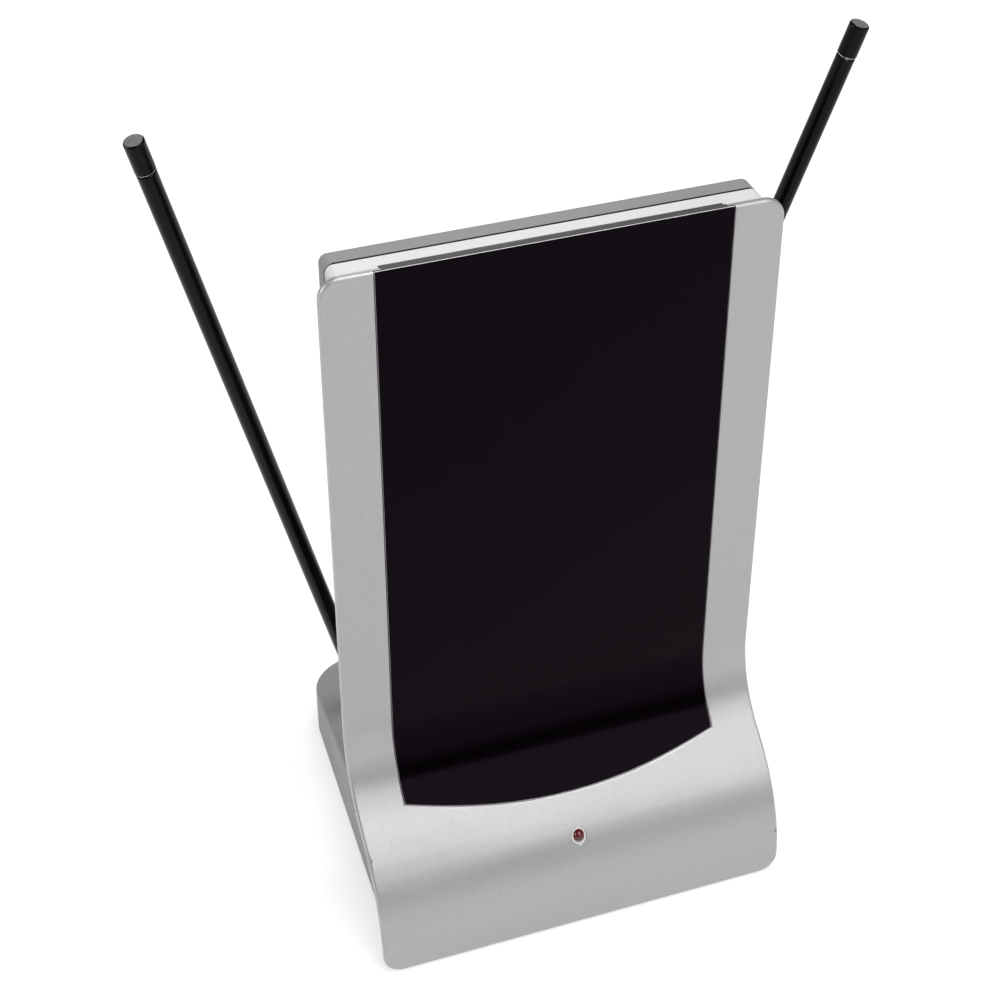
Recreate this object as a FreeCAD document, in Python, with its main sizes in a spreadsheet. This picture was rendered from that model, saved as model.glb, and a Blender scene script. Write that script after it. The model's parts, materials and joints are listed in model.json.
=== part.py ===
import FreeCAD, Part
import os
import re
import Sketcher
from FreeCAD import Placement, Rotation, Vector

# Driving sizes, in millimetres and degrees. Depths are counted back from the silver face.
SIZES = {
    # Silver face: one sheet that stands upright and sweeps forward into a toe
    "face_width": 140.0,
    "face_top": 241.8,
    "face_thickness": 2.2,
    "face_corner": 6.5,
    "face_lip": 0.9,
    "foot_gap": 0.6,
    "bend_height": 75.1,
    "sweep_radius": 37.0,
    "sweep_angle": 54.0,
    "toe_radius": 49.4,
    "skirt_angle": 3.4,
    # Black panel, a stepped leaf let into the face
    "panel_half": 53.9,
    "panel_leaf": 1.0,
    "panel_sink": 0.15,
    "panel_step": 2.2,
    "panel_corner_height": 49.0,
    "panel_arc": 257.0,
    "panel_gap": 0.2,
    "panel_bed": 0.05,
    # Rim behind the face and the rear cover that closes it
    "rim_inset": 4.6,
    "rim_drop": 1.0,
    "rim_wall": 2.0,
    "rim_fillet": 0.6,
    "parting_depth": 9.6,
    "parting_gap": 0.4,
    "cover_depth": 17.1,
    "cover_wall": 1.8,
    "cover_round": 1.4,
    "cover_boss_radius": 3.2,
    "cover_boss_inset": 5.5,
    "cover_boss_low": 100.0,
    "cover_boss_drop": 20.0,
    # Base housing behind the toe
    "base_inset": 6.6,
    "base_taper": 0.0591,
    "rear_room": 28.4,
    "base_corner": 20.0,
    "base_wall": 2.0,
    "base_bottom": 1.6,
    "base_front_gap": 1.2,
    "base_round": 1.0,
    "ledge_height": 29.0,
    "ledge_back": 16.0,
    "ledge_gap": 0.3,
    "deck_slope": 0.137,
    "passage_inset": 18.4,
    "passage_front": 10.0,
    "base_boss_radius": 3.4,
    "base_boss_front_inset": 11.4,
    "base_boss_front_y": 2.0,
    "base_boss_rear_inset": 15.9,
    "base_boss_rear_set": 12.0,
    "neck_boss_length": 18.0,
    "neck_boss_depth": 4.2,
    "neck_boss_gap": 0.6,
    "neck_web_half": 0.9,
    # Bottom plate, its feet and the ballast
    "plate_thickness": 2.2,
    "plate_gap": 0.25,
    "foot_radius": 5.0,
    "foot_recess": 0.6,
    "foot_front_inset": 17.4,
    "foot_front_y": 20.0,
    "foot_rear_inset": 23.4,
    "foot_rear_set": 24.0,
    "ballast_half": 40.0,
    "ballast_start": 8.0,
    "ballast_length": 42.0,
    "ballast_thickness": 4.0,
    "stake_radius": 1.5,
    "stake_x": 30.0,
    # Amplifier board, its shield and the two sockets in the rear wall
    "board_thickness": 1.6,
    "board_half": 32.0,
    "board_length": 38.0,
    "board_clear": 0.3,
    "standoff_height": 1.6,
    "standoff_radius": 2.4,
    "standoff_inset": 4.0,
    "shield_half": 15.0,
    "shield_length": 20.0,
    "shield_height": 6.0,
    "shield_wall": 0.4,
    "shield_inset": 9.0,
    "socket_height": 10.2,
    "coax_x": 17.0,
    "coax_radius": 4.7625,
    "coax_root": 4.5,
    "coax_reach": 11.0,
    "coax_flange": 5.4,
    "coax_flange_thickness": 1.5,
    "coax_tail": 6.0,
    "coax_tail_radius": 3.1,
    "nut_across": 11.1,
    "nut_thickness": 2.4,
    "lock_washer_radius": 6.2,
    "lock_washer_thickness": 0.6,
    "power_x": 17.0,
    "power_half": 3.8,
    "power_length": 9.0,
    "power_nose": 3.2,
    "power_bore": 1.8,
    "power_bore_depth": 8.5,
    "power_pin": 0.65,
    "socket_gap": 0.15,
    # Lamp in the toe
    "lamp_height": 32.1,
    "lamp_hole": 2.5,
    "lamp_radius": 1.9,
    "lamp_flange": 2.3,
    "lamp_proud": 1.2,
    "lamp_length": 6.7,
    "lamp_gap": 0.05,
    "holder_radius": 3.4,
    "holder_set": 4.9,
    "holder_length": 5.0,
    "lamp_boss_wall": 1.4,
    "lamp_boss_reach": 7.3,
    # Flat receiving board behind the panel
    "receiver_half": 46.0,
    "receiver_low": 88.0,
    "receiver_drop": 20.0,
    "receiver_post": 2.6,
    "receiver_post_length": 3.6,
    "receiver_post_inset": 5.0,
    "trace_width": 6.0,
    "trace_inset": 9.0,
    "trace_thickness": 0.3,
    # Telescopic rods, their forks and pivots
    "post_inset": 18.1,
    "post_depth": 71.6,
    "pivot_rise": 5.3,
    "rod_tilt": 16.5,
    "rod_toe_in": 28.4,
    "rod_length": 256.0,
    "seat_rise": 1.5,
    "seat_radius": 6.8,
    "seat_thickness": 4.6,
    "post_flange": 6.0,
    "post_flange_thickness": 1.0,
    "post_shaft": 3.0,
    "post_gap": 0.06,
    "fork_half": 3.8,
    "fork_slot": 1.35,
    "slot_depth": 3.5,
    "rivet_radius": 1.0,
    "rivet_gap": 0.04,
    "rivet_head": 1.7,
    "rivet_head_height": 0.6,
    "tang_half": 1.2,
    "tang_width": 2.8,
    "tang_collar": 5.6,
    "tang_collar_height": 1.0,
    "tang_plug": 8.0,
    "tube_radius": 3.0,
    "tube_step": 0.5,
    "tube_wall": 0.4,
    "tube_slide": 0.05,
    "tube_neck": 4.0,
    "tube_foot": 8.0,
    "tube_show": 0.25,
    "cap_length": 10.9,
    "cap_radius": 3.12,
    "cap_round": 0.8,
    "cap_crown": 0.25,
    "cap_plug": 6.0,
    "washer_radius": 5.0,
    "washer_thickness": 0.8,
    "contact_radius": 5.6,
    "contact_thickness": 0.4,
    "contact_tail": 5.0,
    "turn_gap": 0.1,
    # Self-tapping screws and internal leads
    "screw_radius": 1.2,
    "screw_head": 2.4,
    "screw_head_height": 1.3,
    "screw_hole": 1.35,
    "screw_length": 8.0,
    "small_screw_length": 4.0,
    "lead_radius": 0.5,
    "strap_width": 2.6,
    "feeder_radius": 0.8,
    "lead_bend": 4.0,
}

# Sizes that follow from others, worked out in the sheet
FOLLOWING = {
    "base_rear": "=post_depth + rear_room",
}

# Written-out places on the swept face, used by every piece that follows it
TOE_Y = "(0 - sweep_radius + (sweep_radius + toe_radius) * cos(sweep_angle))"
TOE_Z = "(bend_height - (sweep_radius + toe_radius) * sin(sweep_angle))"
BASE_HALF = "(face_width / 2 - base_inset)"
POST_X = "(%s - post_inset)" % BASE_HALF
SEAT_TOP = "(ledge_height - deck_slope * (post_depth - ledge_back) + seat_rise)"
PIVOT_HEIGHT = "(%s + pivot_rise)" % SEAT_TOP
RIM_HALF = "(face_width / 2 - rim_inset)"
RIM_TOP = "(face_top - rim_drop)"
RIM_CORNER = "(rim_wall + rim_fillet)"
COVER_INNER = "(cover_depth - cover_wall)"
PLATE_TOP = "(base_bottom + plate_thickness)"
BOARD_LOW = "(%s + standoff_height)" % PLATE_TOP
BOARD_TOP = "(%s + board_thickness)" % BOARD_LOW
BOARD_BACK = "(base_rear - base_wall - coax_flange_thickness - board_clear)"
BOARD_FRONT = "(%s - board_length)" % BOARD_BACK
SHIELD_FRONT = "(%s + shield_inset)" % BOARD_FRONT
RECEIVER_BACK = "(%s - receiver_post_length)" % COVER_INNER
RECEIVER_FRONT = "(%s - board_thickness)" % RECEIVER_BACK
RECEIVER_TOP = "(face_top - receiver_drop)"
FACE_CUT = "face_width"

doc = FreeCAD.newDocument("indoor_antenna")
sizes = doc.addObject("Spreadsheet::Sheet", "Sizes")
for row, (name, value) in enumerate({**SIZES, **FOLLOWING}.items(), 1):
    sizes.set("A%d" % row, name)
    sizes.set("B%d" % row, str(value))
    sizes.setAlias("B%d" % row, name)
doc.recompute()
nodes = {}


def bound(text):
    """The expression with each size led by the sheet's name."""
    return re.sub(r"[a-z_]+", lambda m: "Sizes." + m.group() if sizes.getCellFromAlias(m.group()) else m.group(), text)


def number(text):
    """The value of an expression in the sizes."""
    return float(sizes.evalExpression(text))


def skirt_y(depth, height):
    """Where the straight skirt is, at a depth behind the face and a height."""
    low_y = "(%s - (toe_radius - %s) * cos(skirt_angle))" % (TOE_Y, depth)
    low_z = "(%s + (toe_radius - %s) * sin(skirt_angle))" % (TOE_Z, depth)
    return "(%s - (%s - %s) * tan(skirt_angle))" % (low_y, low_z, height)


def toe_y(depth, height):
    """Where the rounded toe is, at a depth behind the face and a height."""
    return "(%s - sqrt((toe_radius - %s)^2 - (%s - %s)^2))" % (TOE_Y, depth, height, TOE_Z)


def sweep_points(depth):
    """The three joints of the swept face at a depth: bend, inflection and start of the skirt."""
    bend = (depth, "bend_height")
    inflection = ("(0 - sweep_radius + (sweep_radius + %s) * cos(sweep_angle))" % depth,
                  "(bend_height - (sweep_radius + %s) * sin(sweep_angle))" % depth)
    skirt = ("(%s - (toe_radius - %s) * cos(skirt_angle))" % (TOE_Y, depth),
             "(%s + (toe_radius - %s) * sin(skirt_angle))" % (TOE_Z, depth))
    return bend, inflection, skirt


FACE_FOOT = skirt_y("0", "foot_gap")
FRAME_Y = "(0 - (base_rear + coax_reach + %s) / 2)" % FACE_FOOT


# Sketches and features

def new_body(label):
    body = doc.addObject("PartDesign::Body", "Body")
    body.Label = label
    return body


def new_sketch(body, plane, at="0"):
    """A sketch on one of the body's planes, moved along the axis square to it."""
    sketch = body.newObject("Sketcher::SketchObject", "Sketch")
    support = [feature for feature in body.Origin.OriginFeatures if feature.Role == plane][0]
    sketch.AttachmentSupport = [(support, "")]
    sketch.MapMode = "FlatFace"
    sign = "0 - " if plane == "XZ_Plane" else ""
    sketch.setExpression("AttachmentOffset.Base.z", bound("%s(%s)" % (sign, at)))
    return sketch


def fix(sketch, kind, places, text):
    """A dimension bound to the sheet."""
    index = sketch.addConstraint(Sketcher.Constraint(kind, *places, number(text)))
    sketch.setExpression("Constraints[%d]" % index, bound(text))


def outline(sketch, corners, closed=True):
    """A loop, or an open run. A corner with a radius and a turn ends an arc from the corner before it."""
    first = sketch.GeometryCount
    spots = [Vector(number(corner[0]), number(corner[1]), 0) for corner in corners]
    runs = [(spots[i - 1], spots[i], corner) for i, corner in enumerate(corners) if closed or i > 0]
    ends = []
    for start, end, corner in runs:
        if len(corner) == 2:
            sketch.addGeometry(Part.LineSegment(start, end), False)
            ends.append((1, 2))
            continue
        radius, left = number(corner[2]), corner[3] == "left"
        chord = end - start
        aside = Vector(-chord.y, chord.x, 0).normalize()
        rise = max(radius ** 2 - chord.Length ** 2 / 4, 0) ** 0.5
        centre = (start + end) / 2 + aside * (rise if left else -rise)
        circle = Part.Circle(centre, Vector(0, 0, 1), radius)
        begin, finish = (start, end) if left else (end, start)
        arc = Part.ArcOfCircle(circle, circle.parameter(begin), circle.parameter(finish))
        sketch.addGeometry(arc, False)
        ends.append((1, 2) if left else (2, 1))
    if not closed:
        fix(sketch, "DistanceX", (-1, 1, first, ends[0][0]), corners[0][0])
        fix(sketch, "DistanceY", (-1, 1, first, ends[0][0]), corners[0][1])
    for index, (start, end, corner) in enumerate(runs):
        after = (index + 1) % len(runs)
        place = (first + index, ends[index][1])
        if closed or after > 0:
            sketch.addConstraint(Sketcher.Constraint("Coincident", *place, first + after, ends[after][0]))
        fix(sketch, "DistanceX", (-1, 1, *place), corner[0])
        fix(sketch, "DistanceY", (-1, 1, *place), corner[1])
        if len(corner) == 4:
            fix(sketch, "Radius", (first + index,), corner[2])


def ring(sketch, across, up, radius):
    """A circle with its centre and radius bound to the sheet."""
    middle = Vector(number(across), number(up), 0)
    place = sketch.addGeometry(Part.Circle(middle, Vector(0, 0, 1), number(radius)), False)
    fix(sketch, "DistanceX", (-1, 1, place, 3), across)
    fix(sketch, "DistanceY", (-1, 1, place, 3), up)
    fix(sketch, "Radius", (place,), radius)


def rectangle(sketch, left, low, right, high):
    outline(sketch, [(left, low), (right, low), (right, high), (left, high)])


def swept(kind, body, sketch, length, way):
    """A pad or pocket along the axis square to the sketch: way 1 or -1, or 0 for both ways."""
    feature = body.newObject("PartDesign::" + kind, kind)
    feature.Profile = sketch
    feature.setExpression("Length", bound(length))
    natural = -1 if sketch.AttachmentSupport[0][0].Role == "XZ_Plane" else 1
    natural = natural if kind == "Pad" else -natural
    if way == 0:
        feature.SideType = "Symmetric"
    else:
        feature.Reversed = way != natural
    return feature


def turned(label, plane, corners):
    """A body turned about the sketch's upright axis."""
    body = new_body(label)
    sketch = new_sketch(body, plane)
    outline(sketch, corners)
    feature = body.newObject("PartDesign::Revolution", "Revolution")
    feature.Profile = sketch
    feature.ReferenceAxis = (sketch, ["V_Axis"])
    return body


def rounded(body, base, radius, test):
    """Fillet the edges of a feature that pass the test."""
    doc.recompute()
    names = ["Edge%d" % (i + 1) for i, edge in enumerate(base.Shape.Edges) if test(edge)]
    feature = body.newObject("PartDesign::Fillet", "Fillet")
    feature.Base = (base, names)
    feature.setExpression("Radius", bound(radius))
    return feature


AXIS_TURN = {
    "X": Rotation(Vector(0, 1, 0), 90),
    "Y": Rotation(Vector(1, 0, 0), -90),
    "Z": Rotation(),
}


def placed(item, place):
    for axis, text in zip("xyz", place):
        item.setExpression("Placement.Base." + axis, bound(text))
    return item


def cylinder(radius, height, place, axis="Z"):
    item = doc.addObject("Part::Cylinder", "Cylinder")
    item.setExpression("Radius", bound(radius))
    item.setExpression("Height", bound(height))
    item.Placement = Placement(Vector(), AXIS_TURN[axis])
    return placed(item, place)


def block(low, high):
    item = doc.addObject("Part::Box", "Box")
    for side, start, end in zip(("Length", "Width", "Height"), low, high):
        item.setExpression(side, bound("(%s) - (%s)" % (end, start)))
    return placed(item, low)


def fuse(*items):
    item = doc.addObject("Part::MultiFuse", "Fuse")
    item.Shapes = list(items)
    item.Refine = True
    return item


def cut(base, *tools):
    item = doc.addObject("Part::Cut", "Cut")
    item.Base = base
    item.Tool = tools[0] if len(tools) == 1 else fuse(*tools)
    return item


def common(one, other):
    item = doc.addObject("Part::Common", "Common")
    item.Base = one
    item.Tool = other
    return item


def keep(label, item):
    """Name a finished sub-part and set it in the part's frame, midway between foot and socket."""
    item.Label = label
    item.setExpression("Placement.Base.y", bound(FRAME_Y))
    nodes[label] = item


# Forms that follow the swept face

def face_layer(front, back):
    """A layer of the swept face between two depths, wider than the face itself."""
    body = new_body("face_layer")
    sketch = new_sketch(body, "YZ_Plane")
    outline(sketch, layer_corners(front, back))
    swept("Pad", body, sketch, FACE_CUT, 0)
    return body


def layer_corners(front, back):
    bend, inflection, skirt = sweep_points(front)
    back_bend, back_inflection, back_skirt = sweep_points(back)
    return [
        (front, "face_top"),
        bend,
        (*inflection, "sweep_radius + %s" % front, "right"),
        (*skirt, "toe_radius - %s" % front, "left"),
        (skirt_y(front, "foot_gap"), "foot_gap"),
        (skirt_y(back, "foot_gap"), "foot_gap"),
        back_skirt,
        (*back_inflection, "toe_radius - %s" % back, "right"),
        (*back_bend, "sweep_radius + %s" % back, "left"),
        (back, "face_top"),
    ]


def panel_window(inset):
    """The panel's outline seen from the front, straight sides and a drooping lower edge."""
    body = new_body("panel_window")
    sketch = new_sketch(body, "XZ_Plane")
    half = "(panel_half - %s)" % inset
    low = "(panel_corner_height + %s)" % inset
    outline(sketch, [
        ("0 - " + half, "face_top + face_thickness"),
        ("0 - " + half, low),
        (half, low, "panel_arc", "left"),
        (half, "face_top + face_thickness"),
    ])
    swept("Pad", body, sketch, "face_width", 0)
    return body


def arch(sketch, half, top, radius, wall, low):
    """An upturned U of even wall with rounded shoulders."""
    left = "0 - " + half
    inner = "(%s - %s)" % (half, wall)
    shoulder = "(%s - %s)" % (top, radius)
    outline(sketch, [
        (left, low),
        (left, shoulder),
        ("0 - (%s - %s)" % (half, radius), top, radius, "right"),
        ("%s - %s" % (half, radius), top),
        (half, shoulder, radius, "right"),
        (half, low),
        (inner, low),
        (inner, shoulder),
        ("%s - %s" % (half, radius), "%s - %s" % (top, wall), "%s - %s" % (radius, wall), "left"),
        ("0 - (%s - %s)" % (half, radius), "%s - %s" % (top, wall)),
        ("0 - " + inner, shoulder, "%s - %s" % (radius, wall), "left"),
        ("0 - " + inner, low),
    ])


def cover_boss_spots():
    across = "(%s - rim_wall - cover_boss_inset)" % RIM_HALF
    high = "(face_top - cover_boss_drop)"
    return [(sign + across, up) for sign in ("0 - ", "") for up in ("cover_boss_low", high)]


def neck_boss_spots():
    across = "(%s - base_wall - screw_head - neck_boss_gap)" % BASE_HALF
    return [("0 - " + across, "neck_boss_depth"), (across, "neck_boss_depth")]


def front_shell():
    """Swept face with a rolled lip, the rim behind it, its cheeks, bosses and the panel's seat."""
    body = new_body("face")
    sketch = new_sketch(body, "YZ_Plane")
    outline(sketch, layer_corners("0", "face_thickness"))
    sheet = swept("Pad", body, sketch, "face_width", 0)
    half, top, low = number("face_width / 2"), number("face_top"), number("foot_gap")
    corners = rounded(body, sheet, "face_corner", lambda edge: is_corner(edge, half, top, low))
    rounded(body, corners, "face_lip", lambda edge: is_top_lip(edge, top))
    inside = "(face_thickness / 2)"
    rim = new_sketch(body, "XZ_Plane", inside)
    arch(rim, RIM_HALF, RIM_TOP, RIM_CORNER, "rim_wall", "bend_height")
    swept("Pad", body, rim, "parting_depth - %s" % inside, 1)
    low = "(ledge_height + ledge_gap)"
    bend, inflection, skirt = sweep_points(inside)
    for start in ("(0 - %s)" % RIM_HALF, "(%s - rim_wall)" % RIM_HALF):
        cheek = new_sketch(body, "YZ_Plane", start)
        outline(cheek, [
            ("parting_depth", low),
            ("parting_depth", "bend_height"),
            bend,
            (*inflection, "sweep_radius + %s" % inside, "right"),
            (toe_y(inside, low), low, "toe_radius - %s" % inside, "left"),
        ])
        swept("Pad", body, cheek, "rim_wall", 1)
    bosses = new_sketch(body, "XZ_Plane", inside)
    for across, up in cover_boss_spots():
        ring(bosses, across, up, "cover_boss_radius")
    swept("Pad", body, bosses, "%s - %s" % (COVER_INNER, inside), 1)
    necks = new_sketch(body, "XY_Plane", low)
    for across, depth in neck_boss_spots():
        ring(necks, across, depth, "base_boss_radius")
    swept("Pad", body, necks, "neck_boss_length", 1)
    for (across, depth), sign in zip(neck_boss_spots(), ("0 - ", "")):
        web = new_sketch(body, "XY_Plane", low)
        wall = sign + "(%s - rim_wall / 2)" % RIM_HALF
        ends = (wall, across) if sign else (across, wall)
        rectangle(web, ends[0], depth + " - neck_web_half", ends[1], depth + " + neck_web_half")
        swept("Pad", body, web, "neck_boss_length", 1)
    boss_radius = "(holder_radius + lamp_boss_wall)"
    lamp_front = toe_y("0", "lamp_height")
    lamp_boss = common(
        cylinder(boss_radius, "%s + lamp_boss_reach" % boss_radius,
                 ("0", "%s - %s" % (lamp_front, boss_radius), "lamp_height"), "Y"),
        face_layer(inside, "(toe_radius / 2)"))
    holder_front = "(%s - lamp_proud + holder_set)" % lamp_front
    tools = [
        common(face_layer("(0 - face_thickness)", "(panel_leaf + panel_bed)"), panel_window("(0 - panel_gap)")),
        common(face_layer("(0 - face_thickness)", "(face_thickness + panel_gap)"),
               panel_window("(panel_step - panel_gap)")),
        cylinder("lamp_hole", "toe_radius", ("0", lamp_front + " - toe_radius / 2", "lamp_height"), "Y"),
        cylinder("holder_radius", "toe_radius / 2", ("0", holder_front, "lamp_height"), "Y"),
    ]
    pilot = "(cover_wall + screw_length)"
    for across, up in cover_boss_spots():
        tools.append(cylinder("screw_radius", pilot, (across, "cover_depth - " + pilot, up), "Y"))
    for across, depth in neck_boss_spots():
        tools.append(cylinder("screw_radius", "screw_length", (across, depth, low)))
    keep("front_shell", cut(fuse(body, lamp_boss), *tools))


def is_corner(edge, half, top, low):
    """An edge across the sheet's thickness at one of its four corners."""
    ends = [vertex.Point for vertex in edge.Vertexes]
    across = abs(ends[0].z - ends[-1].z) < 1e-4 and abs(ends[0].x - ends[-1].x) < 1e-4
    height = min(abs(ends[0].z - top), abs(ends[0].z - low))
    return across and height < 1e-4 and abs(abs(ends[0].x) - half) < 1e-4


def is_top_lip(edge, top):
    """The front edge of the sheet's top, from which the rounding runs all the way round."""
    ends = [vertex.Point for vertex in edge.Vertexes]
    return all(abs(p.z - top) < 1e-4 and abs(p.y) < 1e-4 for p in ends)


def screen_panel():
    leaf = common(face_layer("panel_sink", "panel_leaf"), panel_window("0"))
    back = common(face_layer("panel_leaf", "face_thickness"), panel_window("panel_step"))
    keep("screen_panel", fuse(leaf, back))


def rear_cover():
    """Shallow tray that closes the rim, with countersunk screw holes and posts for the flat board."""
    body = new_body("rear_cover")
    start = "(parting_depth + parting_gap)"
    low = "(ledge_height + ledge_gap)"
    turn = "(%s - %s)" % (RIM_HALF, RIM_CORNER)
    shoulder = "(%s - %s)" % (RIM_TOP, RIM_CORNER)
    wall = new_sketch(body, "XZ_Plane", COVER_INNER)
    outline(wall, [
        ("0 - " + RIM_HALF, low),
        (RIM_HALF, low),
        (RIM_HALF, shoulder),
        (turn, RIM_TOP, RIM_CORNER, "left"),
        ("0 - " + turn, RIM_TOP),
        ("0 - " + RIM_HALF, shoulder, RIM_CORNER, "left"),
    ])
    back = swept("Pad", body, wall, "cover_wall", 1)
    depth, top = number("cover_depth"), number(RIM_TOP)
    rounded(body, back, "cover_round", lambda edge: is_back_top(edge, depth, top))
    sides = new_sketch(body, "XZ_Plane", start)
    arch(sides, RIM_HALF, RIM_TOP, RIM_CORNER, "rim_wall", low)
    swept("Pad", body, sides, "%s - %s" % (COVER_INNER, start), 1)
    posts = new_sketch(body, "XZ_Plane", RECEIVER_BACK)
    for across, up in receiver_post_spots():
        ring(posts, across, up, "receiver_post")
    swept("Pad", body, posts, "receiver_post_length", 1)
    holes = new_sketch(body, "XZ_Plane", "cover_depth")
    for across, up in cover_boss_spots():
        ring(holes, across, up, "screw_hole")
    swept("Pocket", body, holes, "cover_wall", -1)
    sinks = new_sketch(body, "XZ_Plane", "cover_depth")
    for across, up in cover_boss_spots():
        ring(sinks, across, up, "screw_head + socket_gap")
    swept("Pocket", body, sinks, "screw_head_height", -1)
    pilots = new_sketch(body, "XZ_Plane", RECEIVER_BACK)
    for across, up in receiver_post_spots():
        ring(pilots, across, up, "screw_radius")
    swept("Pocket", body, pilots, "small_screw_length - board_thickness", 1)
    keep("rear_cover", body)


def is_back_top(edge, depth, top):
    ends = [vertex.Point for vertex in edge.Vertexes]
    return all(abs(p.y - depth) < 1e-4 and abs(p.z - top) < 1e-4 for p in ends)


def receiver_post_spots():
    across = "(receiver_half - receiver_post_inset)"
    high = "(%s - receiver_post_inset)" % RECEIVER_TOP
    low = "(receiver_low + receiver_post_inset)"
    return [(sign + across, up) for sign in ("0 - ", "") for up in (low, high)]


# Base

def base_plan(sketch, inset, front):
    """The base's outline from above: sides that close in towards the back, round rear corners."""
    slant = "sqrt(1 + base_taper^2)"
    half = "(%s - %s * %s)" % (BASE_HALF, inset, slant)
    rear = "(base_rear - %s)" % inset
    radius = "(base_corner - %s)" % inset
    centre_y = "(%s - %s)" % (rear, radius)
    centre_x = "(%s - base_taper * %s - %s * %s)" % (half, centre_y, radius, slant)
    side_x = "(%s + %s / %s)" % (centre_x, radius, slant)
    side_y = "(%s + %s * base_taper / %s)" % (centre_y, radius, slant)
    front_x = "(%s - base_taper * (%s))" % (half, front)
    outline(sketch, [
        ("0 - " + front_x, front),
        (front_x, front),
        (side_x, side_y),
        (centre_x, rear, radius, "left"),
        ("0 - " + centre_x, rear),
        ("0 - " + side_x, side_y, radius, "left"),
    ])


def base_block(inset, low):
    """The base's solid form at an inset from its outside: the plan raised, then cut to the side profile."""
    body = new_body("base_block")
    plan = new_sketch(body, "XY_Plane", low)
    base_plan(plan, inset, FACE_FOOT)
    swept("Pad", body, plan, "ledge_height", 1)
    depth = "(face_thickness + base_front_gap + %s)" % inset
    ledge = "(ledge_height - %s)" % inset
    ahead = "(%s - base_wall)" % FACE_FOOT
    past = "(base_rear + base_corner)"
    under = "(%s - base_wall)" % low
    above = "(ledge_height * 2)"
    side = new_sketch(body, "YZ_Plane")
    outline(side, [
        (ahead, under),
        (skirt_y(depth, under), under),
        sweep_points(depth)[2],
        (toe_y(depth, ledge), ledge, "toe_radius - %s" % depth, "right"),
        ("ledge_back", ledge),
        (past, "%s - deck_slope * (%s - ledge_back)" % (ledge, past)),
        (past, above),
        (ahead, above),
    ])
    swept("Pocket", body, side, "face_width", 0)
    return body


def is_deck_rim(edge, rear, ledge):
    """The rear edge of the deck, or a side edge of the level ledge."""
    ends = [vertex.Point for vertex in edge.Vertexes]
    at_rear = all(abs(p.y - rear) < 1e-4 and p.z > ledge / 3 for p in ends)
    level = all(abs(p.z - ledge) < 1e-4 for p in ends)
    along = abs(ends[0].x * ends[-1].x) > 1 and ends[0].x * ends[-1].x > 0
    return (at_rear and abs(ends[0].z - ends[-1].z) < 1e-4) or (level and along)


def base_boss_spots():
    front = [(sign + "(%s - base_boss_front_inset)" % BASE_HALF, "base_boss_front_y") for sign in ("0 - ", "")]
    rear = [(sign + "(%s - base_boss_rear_inset)" % BASE_HALF, "(base_rear - base_boss_rear_set)") for sign in ("0 - ", "")]
    return front + rear


def base_housing():
    """Hollow wedge behind the toe: ledge for the head, sloping deck, seats for the rods, sockets at the back."""
    outside = base_block("0", "base_bottom")
    rear, ledge = number("base_rear"), number("ledge_height")
    rounded(outside, outside.Tip, "base_round", lambda edge: is_deck_rim(edge, rear, ledge))
    inside = base_block("base_wall", "(base_bottom - base_wall)")
    posts = [cylinder("base_boss_radius", "ledge_height", (across, depth, PLATE_TOP))
             for across, depth in base_boss_spots()]
    under = "%s - seat_thickness" % SEAT_TOP
    seats = [cylinder("seat_radius", "seat_thickness", (sign + POST_X, "post_depth", under)) for sign in ("0 - ", "")]
    shell = fuse(cut(outside, inside), common(fuse(*posts), outside), *seats)
    through = "(base_wall + base_wall)"
    passage = "(%s - passage_inset)" % BASE_HALF
    notch = "(holder_radius + lamp_boss_wall + base_front_gap)"
    low = "ledge_height - " + through
    tools = [
        block(("0 - " + passage, "0 - passage_front", low), (passage, COVER_INNER, "ledge_height + base_wall")),
        block(("0 - " + notch, FACE_FOOT, "lamp_height - " + notch), (notch, "0", "ledge_height + base_wall")),
        cylinder("coax_root + socket_gap", through, ("coax_x", "base_rear - " + through, "socket_height"), "Y"),
        cylinder("power_nose + socket_gap", through, ("0 - power_x", "base_rear - " + through, "socket_height"), "Y"),
    ]
    for sign in ("0 - ", ""):
        tools.append(cylinder("post_shaft + post_gap", "seat_thickness", (sign + POST_X, "post_depth", under)))
    for across, depth in base_boss_spots():
        tools.append(cylinder("screw_radius", "screw_length", (across, depth, PLATE_TOP)))
    for across, depth in neck_boss_spots():
        tools.append(cylinder("screw_hole", through, (across, depth, low)))
    keep("base_housing", cut(shell, *tools))


def foot_spots():
    front = [(side, sign + "(%s - foot_front_inset)" % BASE_HALF, "0 - foot_front_y")
             for side, sign in (("front_left", "0 - "), ("front_right", ""))]
    rear = [(side, sign + "(%s - foot_rear_inset)" % BASE_HALF, "(base_rear - foot_rear_set)")
            for side, sign in (("rear_left", "0 - "), ("rear_right", ""))]
    return front + rear


def standoff_spots():
    across = "(board_half - standoff_inset)"
    near = "(%s + standoff_inset)" % BOARD_FRONT
    far = "(%s - standoff_inset)" % BOARD_BACK
    return [(sign + across, depth) for sign in ("0 - ", "") for depth in (near, far)]


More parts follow.
